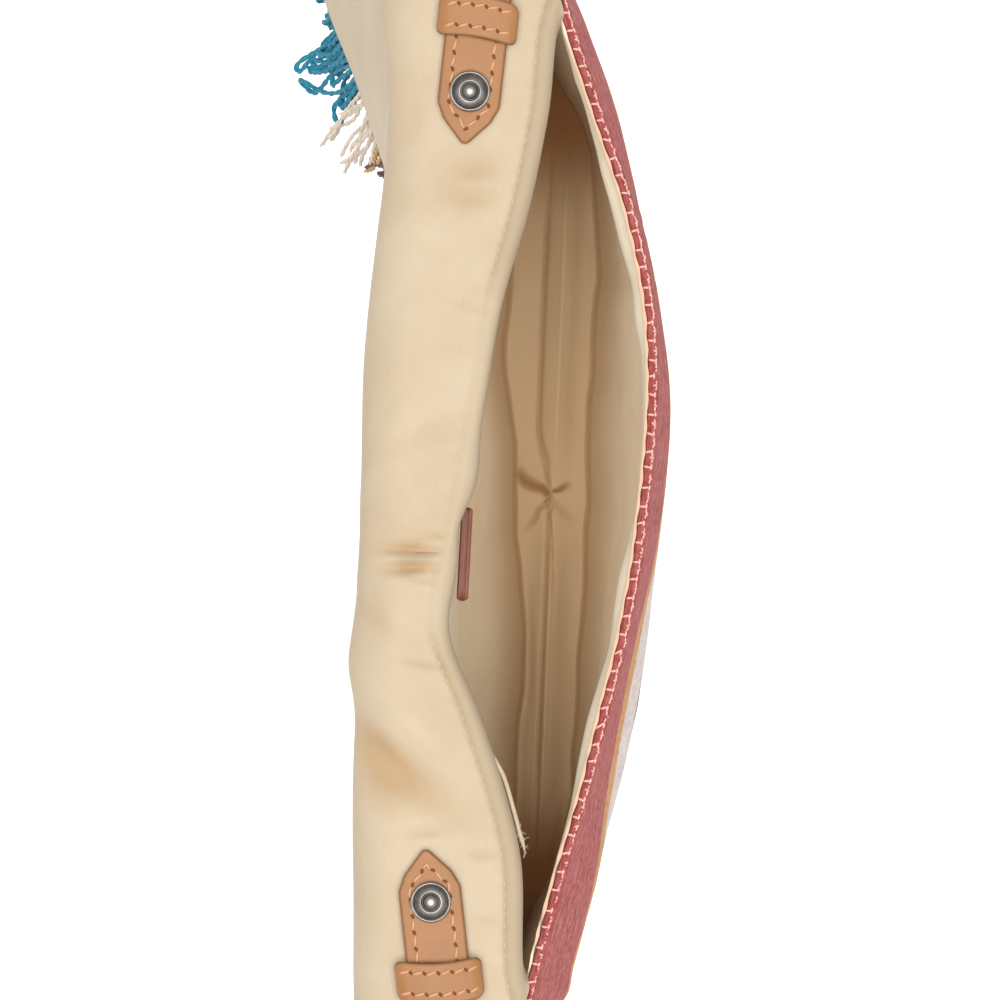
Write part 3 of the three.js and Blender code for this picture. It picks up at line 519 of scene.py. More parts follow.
def frontDepth(x, z, share):
    foot = [depth * (1 - np.abs(share) ** boxiness)
            for depth, boxiness in zip(frontFoot["depth"], frontFoot["boxiness"])]
    heights = [*frontFoot["z"], pouch["bellyZ"], pouch["bandZ"], pouch["rim"]]
    walls = [outlineAt(column, share) for column in ("belly", "band", "front")]
    depth = curveThrough(heights, [*foot, *walls], z)
    dents = sum(deep * bell(x - dx, sx, z - dz, sz) for dx, dz, sx, sz, deep in frontDents)
    return depth - (1 - share * share) * dents


def backDepth(z, share):
    peak = sectionAt("backPeak", z)
    fromPeak = np.where(share > peak, (share - peak) / (1 - peak), (share - peak) / (1 + peak))
    swollen = sectionAt("back", z) * (1 - np.abs(fromPeak) ** sectionAt("boxiness", z))
    level = np.clip((z - pouch["blendStart"]) / (pouch["rim"] - pouch["blendStart"]), 0, 1)
    return mixed(swollen, outlineAt("back", share), level ** pouch["blendPower"])


def hemDepth(face, x, z):
    if face == "back":
        return 0.0
    share = np.clip(x / pouch["halfWidth"], -1, 1)
    start = pouch["rim"] - pouch["hemHeight"]
    fromEnds = np.minimum(8 * (1 - share * share), 1)
    return pouch["hem"] * smoothStep(z, start - pouch["hemSlope"], start) * fromEnds


def clothDepth(face, x, z):
    x, z = np.broadcast_arrays(np.asarray(x, float), np.asarray(z, float))
    share = np.clip(x / sectionAt("halfWidth", z), -1, 1)
    depth = frontDepth(x, z, share) if face == "front" else backDepth(z, share)
    return np.maximum(depth, 0) + hemDepth(face, x, z)


def innerDepth(face, x, z, inset):
    return np.maximum(clothDepth(face, x, z) - hemDepth(face, x, z) - inset, 0)


def wallPoint(face, x, z, depth):
    return stacked(x, seamY(x) + (-depth if face == "front" else depth), z)


# columns across the pouch, closer together at the ends, which stop just short of the seams
widthUsed = 0.9995


def widthShares(count):
    side = np.linspace(-1, 1, count)
    return (side + np.sin(side * math.pi / 2)) / 2 * widthUsed


# outer cloth of one face: up the outside, over the rolled rim and down the inside
panelLook = {
    "front": {"columns": 330, "swell": 0.55, "ripple": 0.16, "pucker": 0.22, "seed": 3},
    "back": {"columns": 220, "swell": 0.7, "ripple": 0.16, "pucker": 0.0, "seed": 9},
}
panelRows = {"rise": (184, 78), "hem": (185, 18), "roll": 11, "inside": (150, 12), "fall": (140, 10),
             "puckerZ": 187, "puckerLength": 7.1, "knotLength": 3.55}  # heights with counts of rows


def clothPanel(face):
    look = panelLook[face]
    share = widthShares(look["columns"])[None, :]
    rim, half = pouch["rim"], pouch["gap"] / 2
    thick = pouch["cloth"] + (pouch["hem"] if face == "front" else 0)
    roll = thick / 2
    (hemZ, hemRows), (fallZ, fallRows) = panelRows["hem"], panelRows["fall"]
    rise = np.concatenate([np.linspace(pouch["foot"], *panelRows["rise"]),
                           np.linspace(hemZ, rim - roll, hemRows)])[:, None]
    fall = np.concatenate([np.linspace(rim - roll, *panelRows["inside"]),
                           np.linspace(fallZ, pouch["foot"], fallRows)])[:, None]

    def outside(z):
        x = share * sectionAt("halfWidth", z)
        free = np.minimum(6 * (1 - np.abs(share)), 1)
        swell = softNoise(x / 46 + 7, z / 38 + 3, look["seed"]) * look["swell"]
        ripple = softNoise(x / 11, z / 8, look["seed"] + 1) * look["ripple"]
        pucker = look["pucker"] * waves(x, panelRows["puckerLength"]) * bell(z - panelRows["puckerZ"], 3.0)
        relief = swell * smoothStep(rim - z, 34, 80) + ripple + pucker
        return x, clothDepth(face, x, z) + half + relief * free

    x, depth = outside(rise)
    outer = wallPoint(face, x, rise + 0 * x, depth)
    xIn = share * sectionAt("halfWidth", fall)
    inner = wallPoint(face, xIn, fall + 0 * xIn, innerDepth(face, xIn, fall, pouch["cloth"]) + half)
    angle = np.linspace(0, math.pi, panelRows["roll"])[1:-1][:, None]
    lip, inside = outer[-1], inner[0]
    middle, reach = (lip + inside) / 2, (lip - inside) / 2
    knots = 1 + 0.10 * waves(lip[:, 0], panelRows["knotLength"])
    top = middle + reach * np.cos(angle)[..., None]
    top[..., 2] += np.sin(angle) * roll * knots
    points = np.concatenate([outer, top, inner])
    faces = gridFaces(len(points), len(share[0]), ring=True, flip=face == "back")
    caps = [list(range(0, points[..., 0].size, look["columns"])),
            list(range(look["columns"] - 1, points[..., 0].size, look["columns"]))]
    caps[face == "front"].reverse()
    fallen = np.cumsum(np.abs(np.diff(fall[:, 0], prepend=fall[0, 0])))
    height = np.concatenate([rise[:, 0], rim + angle[:, 0] * roll, rim + math.pi * roll + fallen])
    uv = flatMap(points[..., 0], height[:, None], 1)
    hem = smoothStep(np.arange(len(points)), len(rise) - 2, len(rise) + 5)[:, None] + 0 * points[..., 2]
    return (points.reshape(-1, 3), faces.tolist() + caps), uv, {"hem": hem}


for face in ("front", "back"):
    shape, uv, marks = clothPanel(face)
    makePiece(face + "Cloth", shape, redCloth, "red_cloth" if face == "front" else "woven_cloth",
              [face + "_panel"], uv, marks)
print("outer cloth ready")

# base cloth with its lower edge turned in
baseLook = {"columns": 120, "rows": 26, "top": 2.0, "turn": 1.5, "edge": 2.5, "mapStart": 200}


def baseCloth():
    share = widthShares(baseLook["columns"])[None, :]
    half = float(sectionAt("halfWidth", pouch["foot"]))
    x = share * half
    across = np.linspace(0, 1, baseLook["rows"])[:, None]
    front = seamY(x) - clothDepth("front", x, pouch["foot"])
    back = seamY(x) + clothDepth("back", x, pouch["foot"])
    y = mixed(front, back, across)
    edge = np.minimum(np.minimum(y - front, back - y), (half - np.abs(x)) * 0.6)
    upper = stacked(x, y, baseLook["top"])
    lower = stacked(x, y, baseLook["turn"] - baseLook["turn"] * rounded(edge / baseLook["edge"]))
    return closedSheet(upper, lower), flatMap(x, y) + [0, baseLook["mapStart"]]


shape, uv = baseCloth()
makePiece("baseCloth", shape, redCloth, "woven_cloth", ["base_panel"], uv, {"hem": np.zeros(len(uv))})

# stitching along the front rim: a chain of thread with bars reaching in over the hem; bar, run, knot and
# link are angles round the rolled rim, from 0 outside to 180 inside
rimSewing = {"pitch": 5.6, "from": -153.0, "to": 153.0, "thread": 0.36, "fine": 0.26, "bar": (58, 138),
             "run": 60, "runEnds": (-0.95, 1.0), "knot": (30, 72), "link": 48, "linkEnds": (0.95, 2.8, 4.7),
             "wander": 0.25, "arch": 0.32, "sunk": 0.14, "fineSunk": 0.04}


def rimPoint(x, angle, lift=0.0):
    thick = (pouch["cloth"] + pouch["hem"]) / 2
    outer = clothDepth("front", x, pouch["rim"]) + pouch["gap"] / 2
    inner = innerDepth("front", x, pouch["rim"], pouch["cloth"]) + pouch["gap"] / 2
    roll = (outer - inner) / 2 + lift
    turn = np.radians(angle)
    return wallPoint("front", x, pouch["rim"] - thick + (thick + lift) * np.sin(turn),
                     (outer + inner) / 2 + roll * np.cos(turn))


def rimStitches():
    look = rimSewing
    x = np.arange(look["from"], look["to"], look["pitch"])[:, None]
    x = x + rng.normal(0, look["wander"], x.shape)
    ends = np.linspace(0, 1, len(threadEnds))[None, :]
    dip = look["arch"] * np.sin(ends * math.pi) - look["sunk"]
    fineDip = dip - look["fineSunk"]
    jitter = rng.normal(0, 1, (4, len(x), 1))
    near, middle, far = look["linkEnds"]
    run, link = look["run"], look["link"] + 5 * jitter[2]
    out, over = look["bar"][0] + 5 * jitter[1], look["bar"][1] + 4 * jitter[2]
    bars = rimPoint(x + (ends - 0.5) * 0.5 * jitter[0], mixed(out, over, ends), dip)
    runs = rimPoint(x + mixed(*look["runEnds"], ends), run + 6 * jitter[1] + 0 * ends, dip)
    low, high = look["knot"][0], look["knot"][1] + 7 * jitter[0]
    knots = rimPoint(x + middle + (ends - 0.5) * 1.0 * jitter[3], mixed(low, high, ends), dip)
    links = rimPoint(x + mixed(near, middle, ends), mixed(run, link, ends), fineDip)
    backs = rimPoint(x + mixed(middle, far, ends), mixed(link, run, ends), fineDip)
    thick, fine = look["thread"] * threadEnds, look["fine"] * threadEnds
    up, along = [0.1, -0.35, 1], [1, 0, 0.2]
    return joined(tubes(bars, thick, along), tubes(runs, thick * 0.9, up), tubes(knots, thick * 0.85, along),
                  tubes(links, fine, up), tubes(backs, fine, up))


makePiece("rimStitches", rimStitches(), rimThread, "red_cloth")

# lining: a slack cup inside the cloth, with a seam along the base tacked down in the middle
cup = {"columns": 260, "wallRows": 50, "floorRows": 64, "floor": 2.3, "frontRise": 0.5, "endDrop": 0.5,
       "backDrop": 5.3, "dropX": (112, 138), "endBlend": 22.0, "endSlack": 0.3, "deepZ": (4, 40),
       "leans": [(92, 34, 2.6), (-76, 24, 1.6)], "leanDown": ((0, 9), (24, 90)), "drape": (1.7, 0.6),
       "seamEnds": (80, 120), "seamShift": -3.6, "ridge": 5.0, "ridgeSpread": 5.0, "ridgeEnds": (95, 130),
       "groove": 1.5, "grooveSpread": 0.9, "grooveSwing": 4.6, "tackX": 2.0, "tackSpread": 15.0,
       "tackHold": 0.8, "floorRipple": 0.7,
       # the last entries give the strength and reach of the painted shade in creases, seam, wall feet and low
       # ends
       "lip": (1.4, 1.0), "lipDown": (0.025, 0.009), "creaseShade": 0.4, "seamShade": 0.36, "footShade": 0.34,
       "endShade": (92, 128), "endShadeUp": (10, 95), "endShadeAmount": (0.3, 0.85)}
drawnIn = {  # how far the feet of the walls are drawn in, and up to what height
    "x": [-160, -110, -70, -36, -20, 10, 30, 60, 160],
    "back": [3, 9, 12, 11.2, 9.2, 7, 2.5, 1.5, 0.5],
    "front": [0, 0, 0, 0, 0.4, 1.6, 1.0, 0.5, 0],
    "upTo": {"back": 85, "front": 45},
}
tackCreases = [  # towards x and y, half width, depth, share before it fades
    (7.6, 14.0, 2.2, 2.0, 0.7), (4.4, -7.2, 1.0, 1.7, 0.5), (-5, 4.6, 0.8, 1.5, 0.35),
    (-14, 10, 1.1, 1.1, 0.5), (24, 4.2, 1.0, 0.7, 0.35), (-38, -0.7, 0.8, 0.9, 0.35),
    (-11, -9, 1.8, 0.6, 0.35),
]
# zip of the inside pocket, where the lining lies flat
zipLook = {"x": 5.0, "half": 80.0, "z": 176.0, "height": 14.0, "standoff": 0.1, "tape": 0.45,
           "flatUp": 8.5, "flatFade": 9, "pitch": 1.7, "tooth": 0.72, "toothReach": 1.5, "toothShift": 0.5,
           "sliderX": 2.5, "sliderHalf": 4.5, "sliderHeight": 6.0, "sliderDepth": 2.6, "sliderMiddle": 1.6,
           "pullLength": 29.0, "pullHeight": 8.0, "pullDepth": 3.6, "pullY": (27.0, 25.4), "pullGap": 0.3,
           "pullGroove": 0.12, "barRings": 44, "barSides": 40}


def liningReach(sign, z, inset):
    inside, outside = np.zeros_like(z), np.full_like(z, pouch["halfWidth"])
    for _ in range(26):
        middle = (inside + outside) / 2
        room = np.minimum(*(innerDepth(face, sign * middle, z, 0) for face in ("front", "back")))
        inside, outside = np.where(room > inset, middle, inside), np.where(room > inset, outside, middle)
    return inside


def liningWall(face, share, down, inset, inner):
    rim, floor = pouch["rim"], cup["floor"]
    base = floor + (pouch["lining"] if inner else 0)
    level = mixed(rim, floor, down)
    reach = np.where(share < 0, liningReach(-1, level, inset), liningReach(1, level, inset))
    x = share * reach
    risen = smoothStep((1 - np.abs(share)) * reach, 0, cup["endBlend"])
    drop = cup["backDrop"] * (1 - smoothStep(np.abs(x), *cup["dropX"])) + cup["endDrop"]
    high = rim + cup["frontRise"] if face == "front" else rim - drop
    z = mixed(mixed(rim - cup["endDrop"], high, risen), base, down)
    slack = cup["endSlack"] * smoothStep(np.abs(share), 0.75, 1)
    layer = 0 if inner else 1
    lip = cup["lip"][layer] * (1 - smoothStep(down, 0, cup["lipDown"][layer])) * (face == "front")
    depth = innerDepth(face, x, z, inset + slack - lip)
    if inner:
        depth = depth - liningFolds(face, x, z) * np.minimum(depth / 6, 1) * smoothStep(down, 0.0, 0.05)
    return wallPoint(face, x, z, np.maximum(depth, 0))


# inward folds of the lining's walls
def liningFolds(face, x, z):
    seed = 31 if face == "front" else 37
    broad, narrow = cup["drape"]
    drape = broad * (softNoise(x / 26 + 5, z / 130 + 2, seed) + 0.5)
    drape = drape + narrow * (softNoise(x / 11, z / 70, seed + 1) + 0.4)
    if face == "back":  # the cloth lies flat where the zip is sewn
        up, fade = zipLook["flatUp"], zipLook["flatFade"]
        beside, above = np.abs(x - zipLook["x"]) - zipLook["half"], np.abs(z - zipLook["z"]) - up
        drape = drape * smoothStep(np.maximum(beside / fade, above / fade), 0, 1)
    upTo = drawnIn["upTo"][face]
    foot = smoothStep(upTo - z, 0, upTo)
    facing = 0.0
    if face == "front":  # below the rim the front stands in a little, most at the +X side
        lean = sum(much * bell(x - at, spread) for at, spread, much in cup["leans"])
        start, stop = (smoothStep(pouch["rim"] - z, *span) for span in cup["leanDown"])
        facing = lean * start * (1 - stop)
    return np.maximum(drape, 0) + facing + curveThrough(drawnIn["x"], drawnIn[face], x) * foot


# how deep the creases of the base are, between 0 and about 2.5
def floorCreases(x, y):
    fromX, fromY = x - cup["tackX"], y - (seamY(cup["tackX"]) + cup["seamShift"])
    depth = 0 * fromX
    for toX, toY, width, deep, held in tackCreases:
        reach = math.hypot(toX, toY)
        along = (fromX * toX + fromY * toY) / reach
        off = (fromX * toY - fromY * toX) / reach + 0.9 * softNoise(along / 3.4, reach, 53)
        inside = smoothStep(along, -0.8, 1.5) * (1 - smoothStep(along, reach * held, reach * 1.1))
        wide = width * mixed(0.5, 1.2, np.clip(along / reach, 0, 1))
        depth = np.maximum(depth, deep * bell(off, wide) * inside)
    return depth


# the seam's groove, which swings away from the ridge beyond the tack
def groove(x, y):
    swing = cup["grooveSwing"] * smoothStep(x, cup["tackX"] - 2, cup["tackX"] + 25)
    middle = seamY(x) + cup["seamShift"] + 0.8 + swing
    return bell(y - middle, cup["grooveSpread"])


def floorLift(x, y):
    middle = seamY(x) + cup["seamShift"]
    ridge = cup["ridge"] * bell(y - middle + 1, cup["ridgeSpread"])
    ridge = ridge - cup["groove"] * groove(x, y) + 0.7 * bell(y - middle + 0.8, cup["grooveSpread"])
    away = 1 - cup["tackHold"] * bell(x - cup["tackX"], cup["tackSpread"])
    lift = ridge * away * (1 - smoothStep(np.abs(x), *cup["ridgeEnds"]))
    return lift - floorCreases(x, y) + cup["floorRipple"] * softNoise(x / 16 + 2, y / 9, 51)


def cupLayer(share, down, across, inset, inner):
    front, back = (liningWall(face, share, down, inset, inner) for face in ("front", "back"))
    ground = mixed(front[-1], back[-1], across[..., None])
    if not inner:
        return np.concatenate([front, ground, back[::-1]])
    edge = np.minimum(across, 1 - across) * np.abs(back[-1, :, 1] - front[-1, :, 1])
    ground[..., 2] += np.maximum(floorLift(ground[..., 0], ground[..., 1]), -1) * smoothStep(edge, 0, 4)
    grid = np.concatenate([front, ground, back[::-1]])
    soft = np.zeros((len(grid), 1, 1))
    soft[len(front) - 5:len(front) + 3] = soft[-len(back) - 3:5 - len(back)] = 0.5
    for _ in range(3):
        grid[1:-1] = mixed(grid[1:-1], (grid[:-2] + grid[2:]) / 2, soft[1:-1])
    return grid


# columns across the cup, closer together at the ends and round the tack
def cupShares():
    side = np.linspace(-1, 1, 2001)
    density = 1 / (1 + math.pi / 2 * np.cos(side * math.pi / 2))
    density = density * (1 + 2.6 * bell(side * 150 - cup["tackX"], 14))
    reach = np.cumsum(density) - density[0]
    return np.interp(np.linspace(0, 1, cup["columns"]), reach / reach[-1], side) * widthUsed


def liningCup():
    share = cupShares()[None, :]
    down = np.insert(np.linspace(0, 1, cup["wallRows"]) ** 1.15, 1, 0.003)[:, None]
    across = np.linspace(0, 1, cup["floorRows"])[1:-1][:, None]
    inset = pouch["cloth"] + pouch["slip"]
    inner, outer = (cupLayer(share, down, across, inset + more, more > 0)
                    for more in (pouch["lining"], 0))
    # the front edge stands over the hem in small scallops
    edgeX = inner[0, :, 0]
    wave = 0.16 * waves(edgeX, 7.9) + 0.2 * softNoise(edgeX / 4, 0.3, 61)
    risen = smoothStep(inner[0, :, 2], 198.6, 200.3)
    inner[:2, :, 1] += 0.4 * wave * risen
    outer[:2, :, 1] += wave * risen
    outer[0, :, 2] += 0.25 * risen
    x, y, z = (inner[..., axis] for axis in range(3))
    onFloor = np.zeros((len(inner), 1))
    onFloor[len(down):-len(down)] = 1
    row = np.arange(len(inner))[:, None]
    feet = (np.abs(row - len(down)) < 1.5) | (np.abs(row - (len(inner) - len(down) - 1)) < 1.5)
    # painted shade in the base's creases, in the seam's groove and along the feet of the walls
    seam = groove(x, y) * (1 - smoothStep(np.abs(x), *cup["seamEnds"]))
    crease = onFloor * np.maximum(floorCreases(x, y) * cup["creaseShade"], seam * cup["seamShade"])
    # painted shade, brown, on the low parts of both ends of the cup, where the cloth lies in deep shade
    endShade = smoothStep(np.abs(x), *cup["endShade"]) * (1 - smoothStep(z, *cup["endShadeUp"]))
    endShade *= mixed(*cup["endShadeAmount"], onFloor)
    crease = np.maximum(np.maximum(np.minimum(crease, 1), feet * cup["footShade"]), endShade)
    # painted shade: the deep mark darkens the floor and the lowest part of the walls, where little light
    # reaches
    marks = {"deep": np.maximum(1 - smoothStep(z, *cup["deepZ"]), onFloor), "crease": crease,
             "lip": (row < 1) * risen}
    girth = reachAlong(inner[:, cup["columns"] // 2])
    both = {name: np.concatenate([mark.ravel(), (mark * (name == "lip")).ravel()])
            for name, mark in marks.items()}
    return closedSheet(inner, outer), flatMap(x, girth[:, None]), both


shape, uv, marks = liningCup()
makePiece("liningCup", shape, liningFinish["cup"], "lining", ["lining"], uv, marks)
print("lining ready")

# flap: back from the rear rim, over a soft fold and down
flap = {"halfWidth": 157.0, "liningHalf": 155.5, "length": 133.0, "liningLength": 131.5, "top": 203.8,
        "fold": 14.0, "crown": 1.4, "roll": 3.6, "drop": 5.2, "fade": (141, 156),
        "flare": 7.0, "flareX": 95.0, "flareAlong": 55.0, "endTurn": 0.25, "seamAlong": 2.0,
        "rows": (62, 66, 44), "bareHem": ((-52, -30), (50, 75)), "hollowFades": (40, 60),
        "ripple": (0.55, 0.16), "pucker": 0.14, "puckerLength": 6.3, "seam": 0.6,
        "swells": [(7, 11, 1.9), (-8, 7, -1.2), (-27, 12, 1.7)]}  # x, spread and height
stations = {
    "x": [-157, -110, -60, 0, 45, 76, 103, 129, 157],
    "foldY": [60, 61, 60.4, 58.6, 57, 54, 51, 50.5, 52],
    "turn": [97, 99, 99, 98, 97, 95, 89.5, 82, 73],
}
flapDents = [  # x, distance from the rim, spreads and depth
    (-14.5, 12, 2.2, 9, 1.6), (-20.5, 10, 2.2, 8, 1.4), (-81, 33, 15, 10, 2.6), (-48, 34, 13, 12, -1.6),
    (97, 18, 9, 9, 1.3), (40, 22, 26, 12, -1.2), (-60, 85, 30, 26, 3), (62, 95, 34, 24, 2.4),
    (5, 105, 26, 30, -2.4),
]
flapCreases = [  # x, distance, degrees from the rim's line, half length, half width, depth
    (-15.4, 8, 90, 9, 1.0, 1.5), (-17.9, 8, 88, 9, 1.2, -1.3), (-20.8, 7, 92, 9, 1.7, 1.5),
    (-11, 4, 96, 5, 0.9, 0.9), (-24.6, 3, 84, 5, 0.9, 0.9), (-50, 6, 80, 7, 1.1, 1.0),
    (-84, 26, 43, 17, 6.5, 1.8), (-68, 18, 43, 20, 6, -1.2), (-104.5, 24, 96, 8, 1.8, -0.9),
    (-101, 25, 100, 9, 2.0, 1.0), (-108, 10, 84, 7, 1.2, 1.0), (101, 14.4, 96, 5.5, 1.8, 0.6),
    (92, 13.5, 84, 7, 2.6, 0.6), (96.5, 15, 92, 6, 1.6, -0.5), (60, 8, 70, 7, 1.4, 0.6),
    (-128, 8, 86, 7, 1.3, 0.6), (20, 14, 110, 14, 5, 0.8), (-36, 20, 60, 12, 4, 0.7),
    (78, 26, 80, 10, 4, 0.8),
]
strapEnds = [
    {"side": "right", "sign": 1, "tipX": 108.5, "tipY": 26.1, "slope": -0.11,
     "keeperX": 145.8, "keeperLean": -0.155, "keeperEase": 0.1},
    {"side": "left", "sign": -1, "tipX": -106.5, "tipY": 38.0, "slope": -0.11,
     "keeperX": -145.8, "keeperLean": -0.057, "keeperEase": 1.1},
]


# where the flap starts behind the rear rim, how far it runs flat, its turn in radians and its bend's length
def flapStretches(x):
    half = pouch["halfWidth"]
    start = seamY(x) + clothDepth("back", np.clip(x, -half, half), pouch["rim"]) - 0.6
    run = curveThrough(stations["x"], stations["foldY"], x) - flap["fold"] - start
    angle = np.radians(curveThrough(stations["x"], stations["turn"], x))
    return start, run, angle, flap["fold"] * angle


# the rear edge bulges forward over the pocket
def rollRadius(x):
    return flap["roll"] + sum(more * bell(x - at, spread) for at, spread, more in flap["swells"])


def flapRelief(x, along, creased):
    depth = sum(deep * bell(x - dx, sx, along - da, sa) for dx, da, sx, sa, deep in flapDents)
    depth = depth * smoothStep(along, 0, 10)
    if creased is None:
        return depth
    broad, narrow = flap["ripple"]
    fine = broad * softNoise(x / 40 + 4, along / 30 + 2, 71) + narrow * softNoise(x / 13, along / 12, 72)
    for dx, da, degrees, length, width, deep in flapCreases:
        cosine, sine = math.cos(math.radians(degrees)), math.sin(math.radians(degrees))
        u = (x - dx) * cosine + (along - da) * sine
        v = (along - da) * cosine - (x - dx) * sine
        fine = fine + deep * bell(u, length, v, width)
    pucker = flap["pucker"] * waves(x, flap["puckerLength"], 2 * softNoise(x / 20, 0.5, 73))
    fine = fine + pucker * bell(along - 2.4, 2.2)
    seam = flap["seam"] * bell(along - flap["seamAlong"], 0.6) * creased
    return depth + fine * smoothStep(along, -2, 3) * openCloth(x, along) + seam


# nought under the leather, one on the open cloth
def openCloth(x, along):
    y = flapStretches(x)[0] + along
    clear = np.ones_like(y)
    for row in strapEnds:
        middle = row["tipY"] + row["slope"] * (x - row["tipX"]) * row["sign"]
        inward = (row["tipX"] - x) * row["sign"]
        beside = np.maximum(smoothStep(np.abs(y - middle), 10, 17), smoothStep(inward, -3, 5))
        clear = np.minimum(clear, beside)
    return clear


def flapPoint(x, along, depth, creased=None):
    x, along, depth = np.broadcast_arrays(np.asarray(x, float), along, depth)
    start, run, angle, bend = flapStretches(x)
    roll, fold = rollRadius(x), flap["fold"]
    fade = smoothStep(np.abs(x), *flap["fade"])
    turned = np.minimum(np.maximum(-along, 0) / roll, mixed(math.pi / 2, flap["endTurn"], fade))
    straight = np.maximum(-along, 0) - turned * roll
    rollY = start - np.sin(turned) * (roll - depth) - np.cos(turned) * straight
    rollZ = flap["top"] - roll + np.cos(turned) * (roll - depth) - np.sin(turned) * straight
    below = depth + flapRelief(x, along, creased)
    turned = np.clip((along - run) / fold, 0, angle)
    hang = np.maximum(along - run - bend, 0)
    crown = flap["crown"] * np.sin(math.pi * np.clip(along / (run + bend * 0.5), 0, 1)) ** 2
    y = start + np.minimum(along, run) + np.sin(turned) * (fold - below) + np.cos(turned) * hang
    z = flap["top"] - fold + np.cos(turned) * (fold - below) - np.sin(turned) * hang + crown
    flared = smoothStep(x, flap["flareX"], flap["halfWidth"])
    flared = flared * smoothStep(along, flap["flareAlong"], flap["length"])
    x = x + flap["flare"] * flared
    return stacked(x, np.where(along < 0, rollY, y), np.where(along < 0, rollZ, z))


def flapHeight(x, y):
    x = np.clip(x, -flap["liningHalf"], flap["liningHalf"])
    return flapPoint(x, y - flapStretches(x)[0], 0.0)[..., 2]


def flapSheet(half, length, top, thickness, columns, rolled):
    x = np.linspace(-half, half, columns)[None, :]
    near, nearRows, farRows = flap["rows"]
    spread = np.concatenate([np.linspace(0, near, nearRows), np.linspace(near, length, farRows)[1:]])[:, None]
    if rolled:
        fade = smoothStep(np.abs(x), *flap["fade"])
        arc = rollRadius(x) * mixed(math.pi / 2, flap["endTurn"], fade)
        lead = np.concatenate([-arc - mixed(flap["drop"], 0.3, fade) * np.linspace(1, 0, 5)[:-1, None],
                               -arc * np.linspace(1, 0, 11)[:-1, None]])
    else:
        lead = -0.4 + 0 * x
    along = np.concatenate([lead, spread + 0 * x])
    low, high = flap["bareHem"]
    ends = 1 - smoothStep(x, *low) + smoothStep(x, *high)
    upper = flapPoint(x, along, top, ends)
    lower = flapPoint(x, along, top + thickness, ends)
    # painted shade: the hem mark greys the rolled hem, which turns away from the light, and darkens the seam
    # line
    hem = 0.75 * (1 - smoothStep(along, 1.2, 2.6)) * smoothStep(along, -5.6, -2.5) * np.clip(ends, 0.35, 1)
    hem = np.maximum(hem, 0.7 * bell(along - flap["seamAlong"], 0.5) * np.clip(ends, 0.2, 1))
    # painted shade in the flap's dents and creases, darker where the relief is deeper, fading away from the
    # rim
    hollow = np.clip(flapRelief(x + 0 * along, along, ends) / 3.0, 0, 0.8) * smoothStep(along, -1, 2)
    hollow = hollow * (1 - 0.9 * smoothStep(along, *flap["hollowFades"]))
    marks = {"hem": np.concatenate([hem, 0 * hem]), "hollow": np.concatenate([hollow, 0 * hollow])}
    return closedSheet(upper, lower), flatMap(x, along + 20), marks


shape, uv, marks = flapSheet(flap["liningHalf"], flap["liningLength"], top=0.0, thickness=1.2,
                             columns=306, rolled=True)
flapLining = makePiece("flapLining", shape, liningFinish["flap"], "lining", ["flap_lining"], uv, marks)

# the flap's cloth carries its stripes out to the fringe
fringeBlocks = [("teal", 27), ("cream", 14), ("gold", 7), ("maroon", 10), ("brick", 32), ("gold", 8),
                ("cream", 18)]
fringeBlocks = [*fringeBlocks, ("teal", 82), *reversed(fringeBlocks)]
flapStripes = [("white" if colour == "cream" else colour, width) for colour, width in fringeBlocks]
flapWeave = finishOf("flapWeave", clothPaint, flapStripes, 0, **clothGloss)
shape, uv, _ = flapSheet(flap["halfWidth"], flap["length"], top=1.5, thickness=2.0,
                         columns=220, rolled=False)
flapCloth = makePiece("flapCloth", shape, flapWeave, "woven_cloth", ["flap_shell"],
                      uv + [flap["halfWidth"], 0])
print("flap ready")

# topstitching behind the rear rim, and the frayed end of the binding under it
hemSewing = {"runs": ((-152, -40), (62, 152)), "steps": 240, "pitch": 3.1, "stitch": 2.3,
             "stitchLift": 0.34, "slant": 0.0, "thread": 0.24}


def hemStitches():
    rows = []
    for low, high in hemSewing["runs"]:
        points = flapPoint(np.linspace(low, high, hemSewing["steps"]), flap["seamAlong"], 0.0, 1.0)
        normals = np.tile([0, -0.1, 1.0], (hemSewing["steps"], 1))
        threads, _ = stitchRow(points, normals, hemSewing)
        rows.append(tubes(threads, hemSewing["thread"] * threadEnds, [0, 0, 1]))
    return joined(*rows)


hemStitchPiece = makePiece("hemStitches", hemStitches(), hemThread, "lining")
binding = {"x": (-76, -107), "steps": 60, "z": 199.4, "fibres": 34, "frayedFrom": 46,
           "thickX": [-107, -104, -80, -76], "thick": [0.35, 0.75, 0.7, 0.3],
           "ways": [(-0.9, 0.6), (-0.5, 0.6), (0.1, 0.5)]}  # middle and spread of each axis


def frayedBinding():
    x = np.linspace(*binding["x"], binding["steps"])
    start = flapStretches(x)[0]
    y = start - flap["roll"] + 0.5 - 1.5 * smoothStep(-x, 76, 86) - 0.5 * smoothStep(-x, 100, 107)
    z = binding["z"] - 1.0 * smoothStep(-x, 80, 100) + 0.25 * np.sin(x / 1.7)
    middle = stacked(x, y, z)[None]
    strip = tubes(middle, np.interp(x, binding["thickX"], binding["thick"])[None], [0, 0, 1], 8)
    count = binding["fibres"]
    root = middle[0, rng.integers(binding["frayedFrom"], binding["steps"], count)]
    way = unit(np.stack([rng.normal(centre, spread, count) for centre, spread in binding["ways"]], -1))
    reach = rng.uniform(1.0, 2.6, count)[:, None, None]
    step = np.linspace(0, 1, 5)[None, :, None]
    curl = rng.normal(0, 0.5, (count, 1, 3)) * step ** 2
    fibres = root[:, None] + way[:, None] * reach * step + curl
    return joined(strip, tubes(fibres, 0.09, [0.2, 0.3, 1], 4))


bindingPiece = makePiece("frayedBinding", frayedBinding(), hemThread, "lining")
print("hems ready")

